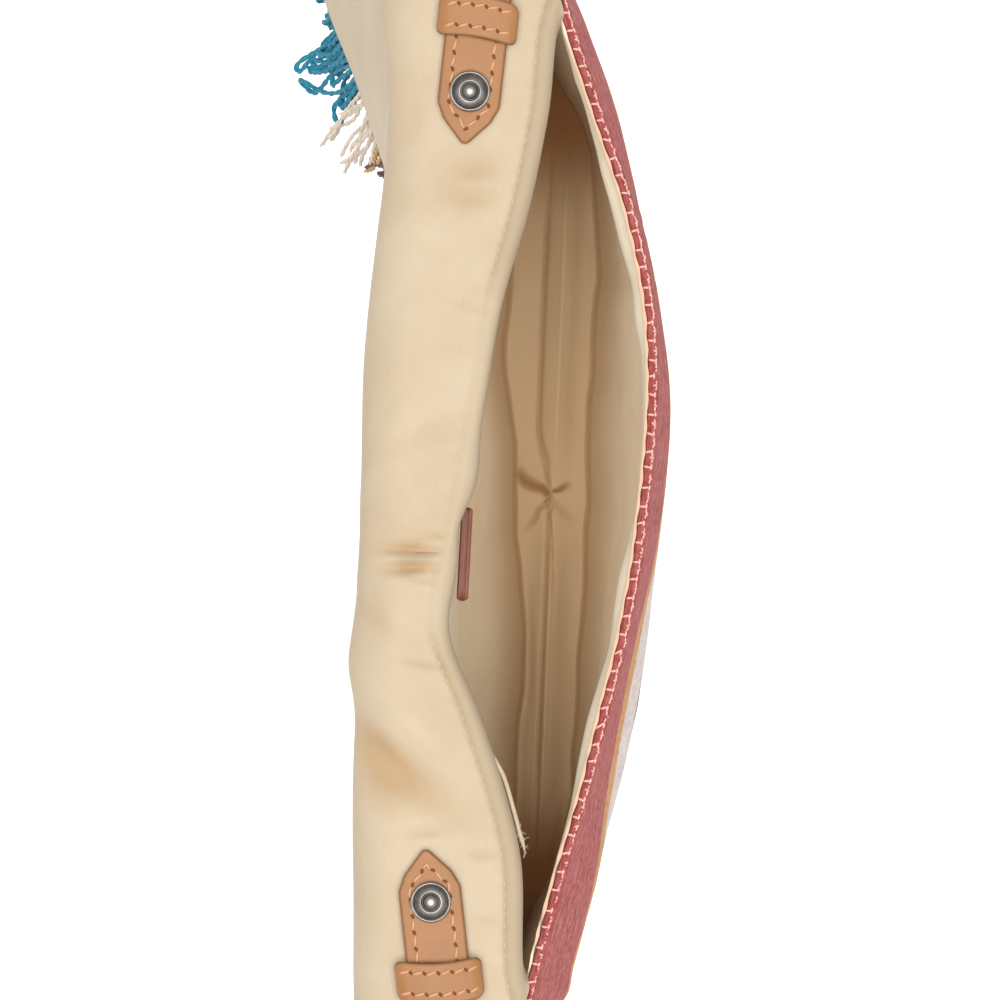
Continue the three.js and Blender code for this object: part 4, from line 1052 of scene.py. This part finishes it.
# fringe: plied yarn, looped where it is teal and cut where it is not
fringe = {"start": 131.5, "length": 37.0, "sides": 5, "cutGap": 1.8, "loopGap": 2.4, "cutRadius": 0.53,
          "loopRadius": 0.6, "pliedPitch": 8.5, "swayPeriod": 88.0, "sway": 3.2, "flop": (84.0, 138.0),
          "flopUp": 3.0, "flopOver": 4.5, "flopOut": (3.5, 6.8), "flopOutX": (124, 136),
          "hang": (140.0, 151.0), "hangIn": 9.0, "cutSteps": 22, "cutLength": (0.84, 0.12, 0.06),
          "cutDepth": (1.75, 1.3), "cutSwing": (2.6, 1.2), "loopSteps": 56, "loopLength": (0.8, 0.16, 0.1),
          "loopDepth": (1.6, 1.9, 0.8), "loopGape": (2.2, 1.4), "loopCurl": (3.6, 1.7)}


def plied(paths, radius):
    along = unit(np.gradient(paths, axis=1))
    across = unit(np.cross(along, [0.25, 0.95, 0.2]))
    lift = np.cross(across, along)
    steps = np.linalg.norm(np.diff(paths, axis=1), axis=2)
    reach = np.concatenate([np.zeros((len(paths), 1)), np.cumsum(steps, axis=1)], axis=1)
    turn = (reach * 2 * math.pi / fringe["pliedPitch"] + rng.uniform(0, 6.28, (len(paths), 1)))[..., None]
    swirl = (across * np.cos(turn) + lift * np.sin(turn)) * radius * 0.6
    ends = np.ones(paths.shape[1])
    ends[0], ends[-1] = 0.7, 0.55
    return joined(*(tubes(paths + side * swirl, radius * ends, [0.3, 0.2, 0.93], fringe["sides"])
                    for side in (1, -1)))


# how far the strands' tips drift towards -X
strandDrift = {"x": [-157, 80, 103, 112, 120, 131, 138, 157], "back": [0, 0, 1, 7.5, 17.5, 15, 5, 0]}


# where a strand lies: out from the flap's edge, swaying, flopping outward near the flared corner and
# hanging steeply at its end
def strandPoint(x, out, depth):
    share = out / fringe["length"]
    hang = smoothStep(x, *fringe["hang"])
    flop = smoothStep(x, *fringe["flop"]) * (1 - hang)
    point = flapPoint(x, fringe["start"] + out, depth - fringe["flopOver"] * flop * share ** 2)
    sway = fringe["sway"] * waves(x, fringe["swayPeriod"]) * share ** 2
    drift = curveThrough(strandDrift["x"], strandDrift["back"], x)
    point[..., 0] += sway - drift * np.maximum(share, 0) ** 1.3
    spread = mixed(*fringe["flopOut"], smoothStep(x, *fringe["flopOutX"]))
    point[..., 1] += spread * flop * share ** 1.5 - fringe["hangIn"] * hang * share
    point[..., 2] += fringe["flopUp"] * flop * share
    return point


def cutStrands(low, high):
    count = max(int((high - low) / fringe["cutGap"]), 3) * 2
    x = np.linspace(low + 0.4, high - 0.4, count)[:, None]
    layer = (np.arange(count) % 2)[:, None]
    usual, vary, ripple = fringe["cutLength"]
    length = fringe["length"] * (usual + rng.normal(0, vary, (count, 1)) + ripple * np.sin(x * 0.9))
    share = np.linspace(0, 1, fringe["cutSteps"])[None, :]
    bend = rng.normal(0, 1, (4, count, 1))
    swing, wriggle = fringe["cutSwing"]
    wave = share ** 1.3 * (bend[0] * swing + wriggle * np.sin(share * 7 + bend[1] * 3))
    start, apart = fringe["cutDepth"]
    depth = start + apart * layer + share * (1.0 * bend[2] + 0.6 * np.sin(share * 6 + bend[3] * 3))
    return plied(strandPoint(x + wave, length * share, depth), fringe["cutRadius"])


# loops of yarn that lean on one another at all angles
def loopStrands(low, high):
    count = max(int((high - low) / fringe["loopGap"]), 3) * 2
    x = np.linspace(low + 1.4, high - 1.4, count)[:, None]
    layer = (np.arange(count) % 2)[:, None]
    usual, vary, less = fringe["loopLength"]
    length = fringe["length"] * np.clip(usual + rng.normal(0, vary, (count, 1)) - less * layer, 0.4, 1.05)
    share = np.linspace(0, 1, fringe["loopSteps"])[None, :]
    out = np.maximum(length * (1 - np.abs(2 * share - 1) ** 2.3), 0)
    bend = rng.normal(0, 1, (6, count, 1))
    far = out / fringe["length"]
    usual, vary = fringe["loopGape"]
    gape = 1.1 + np.sin(share * math.pi) * np.clip(usual + vary * bend[0], 0.4, 5)
    swing, wriggle = fringe["loopCurl"]
    curl = swing * bend[1] * far ** 1.2 + far * wriggle * np.sin(share * 9 + bend[2] * 3)
    across = (2 * share - 1) * gape * (1 - 0.75 * far ** 3) + curl
    stray = far * (1.5 * bend[3] + np.sin(share * 8 + bend[4] * 3))
    start, apart, cross = fringe["loopDepth"]
    depth = start + apart * layer + cross * np.sin((share - 0.5) * 2 * math.pi) + stray
    half = flap["halfWidth"]
    return plied(strandPoint(np.clip(x + across, -half, half + 1), out, depth), fringe["loopRadius"])


edges = np.concatenate([[0], np.cumsum([width for _, width in fringeBlocks])]) - flap["halfWidth"]
for colour in yarnLook:
    shapes, nodes = [], []
    for number, (blockColour, _) in enumerate(fringeBlocks):
        if blockColour == colour:
            strands = loopStrands if colour == "teal" else cutStrands
            shapes.append(strands(edges[number], edges[number + 1]))
            nodes.append(f"fringe_{number + 1:02d}_{colour}")
    piece = makePiece(colour + "Fringe", joined(*shapes), yarnFinish[colour], colour + "_yarn", nodes)
print("fringe ready")

# pointed strap ends, keepers and snaps
leather = {"width": 19.0, "thick": 3.0, "reach": 163.0, "taper": 9.5, "lift": 0.35, "round": 0.9,
           "stitchIn": 3.5, "pitch": 5.0, "stitch": 3.4, "stitchLift": 0.22, "slant": 0.7, "thread": 0.6,
           "hole": (0.95, 0.58), "snapFromTip": 15.8, "crown": 0.18,
           "tipRows": [(0, 0.35), (0.15, 0.7), (0.45, 0.92), (0.9, 1.0)]}  # distance and fullness
keeperLook = {"band": 12.5, "thick": 1.8, "bow": 1.1, "clear": 0.7, "steps": 61, "rowsIn": 3.0,
              "pitch": 4.2, "stitch": 3.1, "stitchLift": 0.22, "slant": -1.1}


# distance along a strap end from its tip to a given x
def endLength(row, x):
    return (abs(x) - abs(row["tipX"])) * math.hypot(1, row["slope"])


def endPoint(row, distance, across, height):
    scale = math.hypot(1, row["slope"])
    x = row["tipX"] + row["sign"] * distance / scale - row["sign"] * row["slope"] * across
    y = row["tipY"] + row["slope"] * distance / scale + across
    return stacked(x, y, flapHeight(x, y) + leather["lift"] + height)


# a strap's cross-section, across and up, with rounded corners
def bandSection(halfWidth, thick, corner, count=5):
    turn = np.linspace(0, math.pi / 2, count)
    flat = np.linspace(-1, 1, 9)
    side = halfWidth - corner

    def bend(centreX, centreZ, start):
        return [(centreX + corner * math.cos(start + angle), centreZ + corner * math.sin(start + angle))
                for angle in turn]

    return np.array([
        *((-value * side, thick) for value in flat),
        *bend(-side, thick - corner, math.pi / 2), *bend(-side, corner, math.pi),
        *((value * side, 0.0) for value in flat),
        *bend(side, corner, 1.5 * math.pi), *bend(side, thick - corner, 0.0)])


# half width a distance from the tip, with softened shoulders
def endHalfWidth(distance):
    share = distance / leather["taper"]
    ramp = np.where(share < 1, share, 1) - 0.12 * bell(share - 1, 0.16)
    return mixed(0.9, leather["width"] / 2, np.clip(ramp, 0, 1))


# a closed tube through rings of points, with its faces turned outward
def outwardTube(rings):
    points = rings.reshape(-1, 3)
    index = np.arange(len(points)).reshape(rings.shape[:2])
    faces = ringWalls(index[None], flip=True) + [index[0, ::-1].tolist(), index[-1].tolist()]
    corners = points[faces[rings.shape[1] // 3]]
    normal = np.cross(corners[1] - corners[0], corners[3] - corners[0])
    if np.dot(normal, corners.mean(0) - rings[:2].reshape(-1, 3).mean(0)) < 0:
        faces = [face[::-1] for face in faces]
    return points, faces


def strapEnd(row):
    length = endLength(row, leather["reach"])
    rows = np.concatenate([np.linspace(1.5, 14, 28), np.linspace(14.6, length, 50)])
    rings, edge = [], []
    for at, full in [*leather["tipRows"], *((at, 1.0) for at in rows)]:
        half = float(endHalfWidth(at)) * (0.45 + 0.55 * full)
        profile = bandSection(half, leather["thick"], min(leather["round"], half * 0.6))
        across = profile[:, 0]
        drop = leather["crown"] * (across / max(half, 1)) ** 4
        high = mixed(leather["thick"] / 2, profile[:, 1], full) - drop
        rings.append(endPoint(row, at, across, high))
        edge.append(smoothStep(np.abs(across), half - 1.2, half - 0.1) * 0.5 + (profile[:, 1] < 2.2) * 0.4)
    return outwardTube(np.array(rings)), np.concatenate(edge)


# stitch line that runs down one side, round the point and back
def endStitchLine(row):
    length = endLength(row, leather["reach"])
    side = leather["width"] / 2 - leather["stitchIn"]
    shoulder, tip = leather["taper"] + 1.8, leather["stitchIn"] * 1.25
    corners = np.array([(length, side), (shoulder, side), (tip, 0.0), (shoulder, -side), (length, -side)])
    plan = [np.linspace(corners[i], corners[i + 1], 60)[:-1] for i in range(4)]
    plan = np.concatenate(plan + [corners[-1:]])
    points = endPoint(row, plan[:, 0], plan[:, 1], leather["thick"])
    return points, np.tile([0.0, 0.0, 1.0], (len(points), 1))


# the keeper's outer and inner line across the strap
def keeperOutline(ease):
    inside, thick = leather["width"] / 2 + keeperLook["clear"] + ease, keeperLook["thick"]
    clear = leather["thick"] + 0.75
    half = [(inside + thick, 0.2), (inside + thick * 1.06, clear * 0.5),
            (inside + thick * 0.84, clear + thick * 0.16), (inside + 0.3, clear + thick * 0.66),
            (inside - 1.6, clear + thick * 0.95), (0, clear + 0.3 + thick)]
    under = [(inside + 0.3, 0.0), (inside, clear * 0.5), (inside - 0.8, clear - 0.1), (0, clear + 0.3)]

    def whole(line):
        line = np.array(line)
        line = np.concatenate([line * [-1, 1], line[-2::-1]])
        reach = reachAlong(line)
        at = np.linspace(0, reach[-1], keeperLook["steps"])
        return np.stack([curveThrough(reach, list(column), at) for column in line.T], -1)

    return whole(half), whole(under)


# a point of the keeper, whose band leans a little and bows away from the strap's tip
def keeperPoint(row, at, outline):
    distance = endLength(row, row["keeperX"])
    across = row["sign"] * outline[:, 0]
    bow = keeperLook["bow"] * (1 - (across / 12) ** 2) - (row["keeperLean"] - row["slope"]) * across
    widest = leather["width"] / 2 + keeperLook["clear"] + row["keeperEase"] + keeperLook["thick"]
    narrow = 1 - 0.24 * smoothStep(np.abs(across), widest - 2.8, widest + 0.3) ** 2
    return endPoint(row, distance + at * narrow + bow, across, outline[:, 1])


def keeper(row):
    upper, under = keeperOutline(row["keeperEase"])
    half = keeperLook["band"] / 2
    rows = [(-half, 0.5), (-half + 0.12, 0.26), (-half + 0.45, 0.08), (-half + 0.9, 0), (-3, 0), (0, 0),
            (3, 0), (half - 0.9, 0), (half - 0.45, 0.08), (half - 0.12, 0.26), (half, 0.5)]
    centre = (upper + under) / 2
    rings, edge = [], []
    for at, less in rows:
        ring = np.concatenate([mixed(upper, centre, less), mixed(under, centre, less)[::-1]])
        rings.append(keeperPoint(row, at, ring))
        edge.append(np.full(len(ring), 0.6 * smoothStep(abs(at), half - 1.0, half)))
    rowsOfStitches = []
    for at in (-half + keeperLook["rowsIn"], half - keeperLook["rowsIn"]):
        top = upper[5:56]
        points = keeperPoint(row, at, top)
        lean = np.gradient(top, axis=0)
        normal = unit(stacked(0.0 * lean[:, 0], -row["sign"] * lean[:, 1], lean[:, 0]))
        rowsOfStitches.append(stitchRow(points, normal, keeperLook))
    return outwardTube(np.array(rings)), np.concatenate(edge), rowsOfStitches


# turned cap of a snap, from its middle out
snapLook = {
    "radius": [0, 0.7, 1.3, 1.8, 2.15, 2.4, 2.65, 2.9, 3.15, 3.6, 4.1, 4.55, 4.8, 5.05, 5.3, 5.6, 5.9,
               6.1, 6.25, 6.2, 5.7],
    "height": [3.1, 3.03, 2.8, 2.4, 1.85, 1.4, 1.3, 1.7, 1.9, 1.75, 1.5, 1.2, 1.0, 1.1, 1.6, 2, 1.95,
               1.65, 1.05, 0.35, 0],
    "recess": [0, 0, 0.05, 0.2, 0.6, 1, 0.9, 0.4, 0.25, 0.35, 0.45, 0.6, 0.9, 1, 0.5, 0.1, 0.1,
               0.2, 0.3, 0.7, 1],
    "rings": 61, "segments": 120, "beads": 44, "beadRadius": 4.95,
}


def snapCap(row):
    keys = np.arange(len(snapLook["radius"]))
    fine = np.linspace(0, keys[-1], snapLook["rings"])
    radius = np.maximum(curveThrough(keys, snapLook["radius"], fine), 0.001)[:, None]
    height = curveThrough(keys, snapLook["height"], fine)[:, None]
    recess = np.clip(np.interp(fine, keys, snapLook["recess"]), 0, 1)[:, None]
    turn = np.linspace(0, 2 * math.pi, snapLook["segments"], endpoint=False)[None, :]
    beads = 0.16 * np.cos(turn * snapLook["beads"]) * bell(radius - snapLook["beadRadius"], 0.24)
    seat = endPoint(row, leather["snapFromTip"], 0.0, leather["thick"])
    rings = stacked(radius * np.cos(turn), radius * np.sin(turn), height + beads + 0.05) + seat
    index = np.arange(rings[..., 0].size).reshape(rings.shape[:2])
    return (rings.reshape(-1, 3), ringWalls(index[None]) + [index[-1, ::-1].tolist()]), recess + 0 * turn


for row in strapEnds:
    side = row["side"]
    shape, edge = strapEnd(row)
    makePiece(side + "StrapEnd", shape, strapLeather, "leather", ["strap_end_" + side], marks={"edge": edge})
    endThreads, endHoles = stitchRow(*endStitchLine(row), leather)
    shape, edge, rowsOfStitches = keeper(row)
    makePiece(side + "Keeper", shape, strapLeather, "leather", ["keeper_" + side], marks={"edge": edge})
    sewn = [endThreads, *(threads for threads, _ in rowsOfStitches)]
    sewn = joined(*(tubes(threads, leather["thread"] * threadEnds, [0.01, 0, 1]) for threads in sewn))
    makePiece(side + "EndStitches", sewn, leatherThread, "leather")
    # dark ovals of painted shade at the stitch holes
    dots = holeShadeOvals([endHoles, *(holes for _, holes in rowsOfStitches)], *leather["hole"])
    makePiece(side + "EndHoleShade", dots, prickedHoleShade, "leather")
    shape, recess = snapCap(row)
    makePiece(side + "Snap", shape, antiqueSilver, "antique_silver", ["snap_" + side],
              marks={"recess": recess})
print("leather and snaps ready")

# shoulder strap from one end of the flap to the other, round behind the bag
strap = {"steps": 300, "stitchIn": 3.4, "pitch": 5.0, "stitch": 3.4, "stitchLift": 0.2, "slant": 0.7,
         "bend": 5, "thread": 0.52 * threadEnds[[0, 1, 3, 5, 6]]}
strapRoute = [  # x, y, z, share of the end's own y, and the way the face looks
    (163.05, 0, 206.8, 1, 0.05, 0, 1), (171, -0.8, 205.6, 1, 0.35, 0, 0.94),
    (179, -1.6, 199, 1, 0.75, 0, 0.66), (184, -2, 188, 1, 0.97, 0.02, 0.25),
    (186, -1, 168, 0.95, 0.99, 0.12, 0.03), (186.5, 2, 140, 0.9, 0.88, 0.47, 0),
    (187, 5, 110, 0.8, 0.6, 0.8, 0), (187.5, 9, 80, 0.7, 0.26, 0.96, 0.1),
    (188, 16, 52, 0.6, 0.04, 0.96, 0.28), (188, 30, 25, 0.45, 0, 0.78, 0.62),
    (188, 52, 7, 0.25, 0, 0.3, 0.95), (188, 76, 2.4, 0.1, 0, 0.02, 1), (188, 100, 4.2, 0, 0.2, 0, 0.98),
    (187.5, 122, 7.6, 0, 0.62, 0, 0.78), (187.5, 144, 9.9, 0, 0.95, 0, 0.3),
    (187, 167, 9.8, 0, 0.99, 0.1, 0), (181, 188, 9.8, 0, 0.85, 0.52, 0), (164, 201, 9.8, 0, 0.36, 0.93, 0),
    (136, 205, 9.8, 0, 0.06, 1, 0), (84, 203, 9.8, 0, -0.04, 1, 0), (36, 200, 9.8, 0, -0.04, 1, 0),
    (0, 199, 9.8, 0, 0, 1, 0),
]


# curve through points; power 0.5 keeps bends even where points are uneven, 0 spaces them alike
def routeCurve(points, steps, power):
    points = np.asarray(points, float)
    points = np.concatenate([[2 * points[0] - points[1]], points, [2 * points[-1] - points[-2]]])
    pieces = len(points) - 3
    place = np.linspace(0, pieces, steps + 1)
    i = np.minimum(place.astype(int), pieces - 1)
    t = (place - i)[:, None]
    p = [points[i + k] for k in range(4)]
    gap = [np.linalg.norm(p[k + 1] - p[k], axis=1, keepdims=True) ** power for k in range(3)]
    leave = ((p[1] - p[0]) / gap[0] - (p[2] - p[0]) / (gap[0] + gap[1]) + (p[2] - p[1]) / gap[1]) * gap[1]
    reach = ((p[2] - p[1]) / gap[1] - (p[3] - p[1]) / (gap[1] + gap[2]) + (p[3] - p[2]) / gap[2]) * gap[1]
    cubic = 2 * p[1] - 2 * p[2] + leave + reach
    square = 3 * p[2] - 3 * p[1] - 2 * leave - reach
    return ((cubic * t + square) * t + leave) * t + p[1]


# places along the strap, the way its face looks there and the way across
def strapLine():
    route, faces = [], []
    for sign in (1, -1):
        row = next(end for end in strapEnds if end["sign"] == sign)
        exitY = row["tipY"] + row["slope"] * (leather["reach"] - abs(row["tipX"]))
        half = [((sign * x, y + follow * exitY, z), (sign * fx, fy, fz))
                for x, y, z, follow, fx, fy, fz in strapRoute]
        half = half if sign == 1 else half[:-1][::-1]
        route += [place for place, _ in half]
        faces += [unit(np.array(face, float)) for _, face in half]
    places = routeCurve(route, strap["steps"], 0.5)
    facing = routeCurve(faces, strap["steps"], 0.0)
    along = unit(np.gradient(places, axis=0))
    facing = unit(facing - along * (facing * along).sum(1, keepdims=True))
    return places, facing, np.cross(along, facing)


def shoulderStrap():
    places, facing, across = strapLine()
    profile = bandSection(leather["width"] / 2, leather["thick"], leather["round"])
    rings = places[:, None] + across[:, None] * profile[:, 0][:, None]
    rings = rings + facing[:, None] * (profile[:, 1] - leather["thick"] / 2)[:, None]
    edge = smoothStep(np.abs(profile[:, 0]), 8.2, 9.4) * 0.7
    reach = leather["width"] / 2 - strap["stitchIn"]
    sewn = [stitchRow(places + across * side + facing * face * leather["thick"] / 2, facing * face, strap)
            for side in (-reach, reach) for face in (1, -1)]
    return places, outwardTube(rings), np.tile(edge, len(places)), sewn


strapPath, shape, edge, sewn = shoulderStrap()
strapPiece = makePiece("shoulderStrap", shape, strapLeather, "leather", ["strap"], marks={"edge": edge})
shape = joined(*(tubes(threads, strap["thread"], [0.31, 0.87, 0.38], 5) for threads, _ in sewn))
strapStitches = makePiece("strapStitches", shape, leatherThread, "leather")
# dark ovals of painted shade at the strap's stitch holes
shape = holeShadeOvals([holes for _, holes in sewn], *leather["hole"])
strapHoleShade = makePiece("strapHoleShade", shape, prickedHoleShade, "leather")
strapPath[0] * mm
(strapPath * mm).tolist()


# zip of the inside pocket: tape with teeth, slider and a folded leather pull, all set against this wall
def rearWall(x, z, standoff):
    inset = pouch["cloth"] + pouch["slip"] + pouch["lining"]
    return stacked(x, seamY(x) + innerDepth("back", x, z, inset) - standoff, z)


def zipTape():
    x = np.linspace(zipLook["x"] - zipLook["half"], zipLook["x"] + zipLook["half"], 120)[None, :]
    rise = np.linspace(-0.5, 0.5, 21)[:, None] * zipLook["height"]
    ribs = 0.08 * np.sin(rise * 6)
    front = rearWall(x, zipLook["z"] + rise, zipLook["standoff"] + zipLook["tape"] + ribs)
    back = rearWall(x, zipLook["z"] + rise, zipLook["standoff"] + 0 * rise)
    return closedSheet(front, back), flatMap(x, rise)


def zipTeeth():
    low, high = zipLook["x"] - zipLook["half"] + 2, zipLook["x"] + zipLook["half"] - 2
    x = np.arange(low, high, zipLook["pitch"])[:, None]
    flip = np.where(np.arange(len(x)) % 2, 1.0, -1.0)[:, None]
    share = np.linspace(-1, 1, 7)[None, :]
    z = zipLook["z"] + flip * zipLook["toothShift"] + share * zipLook["toothReach"]
    paths = rearWall(x + 0 * share, z, zipLook["standoff"] + zipLook["tape"] - 0.1)
    return tubes(paths, zipLook["tooth"] * threadEnds, [1, 0, 0.1])


# rounded bar along the rear wall; y is where its middle lies
def wallBar(low, high, y, height, depth, roundEnd, groove=0.0):
    x = np.linspace(low, high, zipLook["barRings"])
    size = rounded((x - low) / (height * 0.5), 0.05) if roundEnd else np.ones_like(x)
    soft = rounded(np.minimum(x - low, high - x) / 0.9, 0.15)
    turn = np.linspace(0, 2 * math.pi, zipLook["barSides"], endpoint=False)
    flatY, flatZ = (np.sign(wave) * np.abs(wave) ** 0.45 for wave in (np.cos(turn), np.sin(turn)))
    pinch = 1 - groove * bell(np.cos(turn), 0.22)
    rings = np.repeat(stacked(x, y, zipLook["z"])[:, None], zipLook["barSides"], axis=1)
    rings[..., 1] -= flatY * depth / 2 * soft[:, None]
    rings[..., 2] += flatZ * height / 2 * (size * np.maximum(soft, 0.6))[:, None] * pinch
    edge = np.tile(bell(np.cos(turn), 0.3) * 0.8, (zipLook["barRings"], 1))
    return outwardTube(rings), edge


shape, uv = zipTape()
makePiece("zipTape", shape, tapeCotton, "zip_tape", ["zip_tape"], uv)
makePiece("zipCoil", zipTeeth(), tapeCotton, "zip_tape")
low, high = zipLook["sliderX"] - zipLook["sliderHalf"], zipLook["sliderX"] + zipLook["sliderHalf"]
y = rearWall(np.linspace(low, high, zipLook["barRings"]), zipLook["z"], zipLook["sliderMiddle"])[..., 1]
shape, edge = wallBar(low, high, y, zipLook["sliderHeight"], zipLook["sliderDepth"], False)
makePiece("zipSlider", shape, zipBrass, "zip_brass", ["zip_slider"], marks={"recess": edge * 0.5})
high = low - zipLook["pullGap"]
y = np.linspace(*zipLook["pullY"], zipLook["barRings"])
shape, edge = wallBar(high - zipLook["pullLength"], high, y, zipLook["pullHeight"], zipLook["pullDepth"],
                      True, zipLook["pullGroove"])
makePiece("zipPull", shape, pullLeather, "pull_leather", ["zip_pull"], marks={"edge": edge})
print("zip ready")

# studio: pale floor, one broad light overhead, light all round; camera straight down into the bag
studio = {"floor": (tint(250, 250, 249), tint(248, 248, 247)), "floorHalf": 20, "floorZ": -0.0005,
          "floorGlow": 0.45, "ambient": 0.385, "key": 80.0, "keySize": 2.0, "keyPlace": (-0.2, 0.0, 2.4),
          "keyDrop": 2.2, "cameraHeight": 1.804, "cameraY": 0.01525, "lens": 188.9, "sensor": 36.0}
mesh = bpy.data.meshes.new("floor")
mesh.from_pydata([(x * studio["floorHalf"], y * studio["floorHalf"], studio["floorZ"])
                  for x, y in ((-1, -1), (1, -1), (1, 1), (-1, 1))], [], [[0, 1, 2, 3]])
floor = addObject("floor", mesh)


def paintFloor(wire):
    return {"Base Color": wire.inSpace().grain(3.0, 2.0).colours(*studio["floor"])}


mesh.materials.append(finishOf("paleFloor", paintFloor, **{
    "Roughness": 0.9, "Emission Color": (1, 1, 1, 1), "Emission Strength": studio["floorGlow"]}))

lamp = bpy.data.lights.new("overhead", "AREA")
lamp.energy, lamp.size = studio["key"], studio["keySize"]
key = addObject("overhead", lamp)
key.location = studio["keyPlace"]
key.rotation_euler = (-math.atan2(studio["keyPlace"][1], studio["keyDrop"]),
                      math.atan2(studio["keyPlace"][0], studio["keyDrop"]), 0)

world = bpy.data.worlds.new("studio")
world.use_nodes = True
background = world.node_tree.nodes["Background"]
background.inputs["Color"].default_value = (1, 1, 1, 1)
background.inputs["Strength"].default_value = studio["ambient"]
scene.world = world
scene.view_settings.view_transform = "Standard"

lens = bpy.data.cameras.new("topCamera")
lens.lens, lens.sensor_width = studio["lens"], studio["sensor"]
camera = addObject("topCamera", lens)
camera.location = (0, studio["cameraY"], studio["cameraHeight"])
camera.rotation_euler = (0, 0, -math.pi / 2)
scene.camera = camera
print("studio ready")
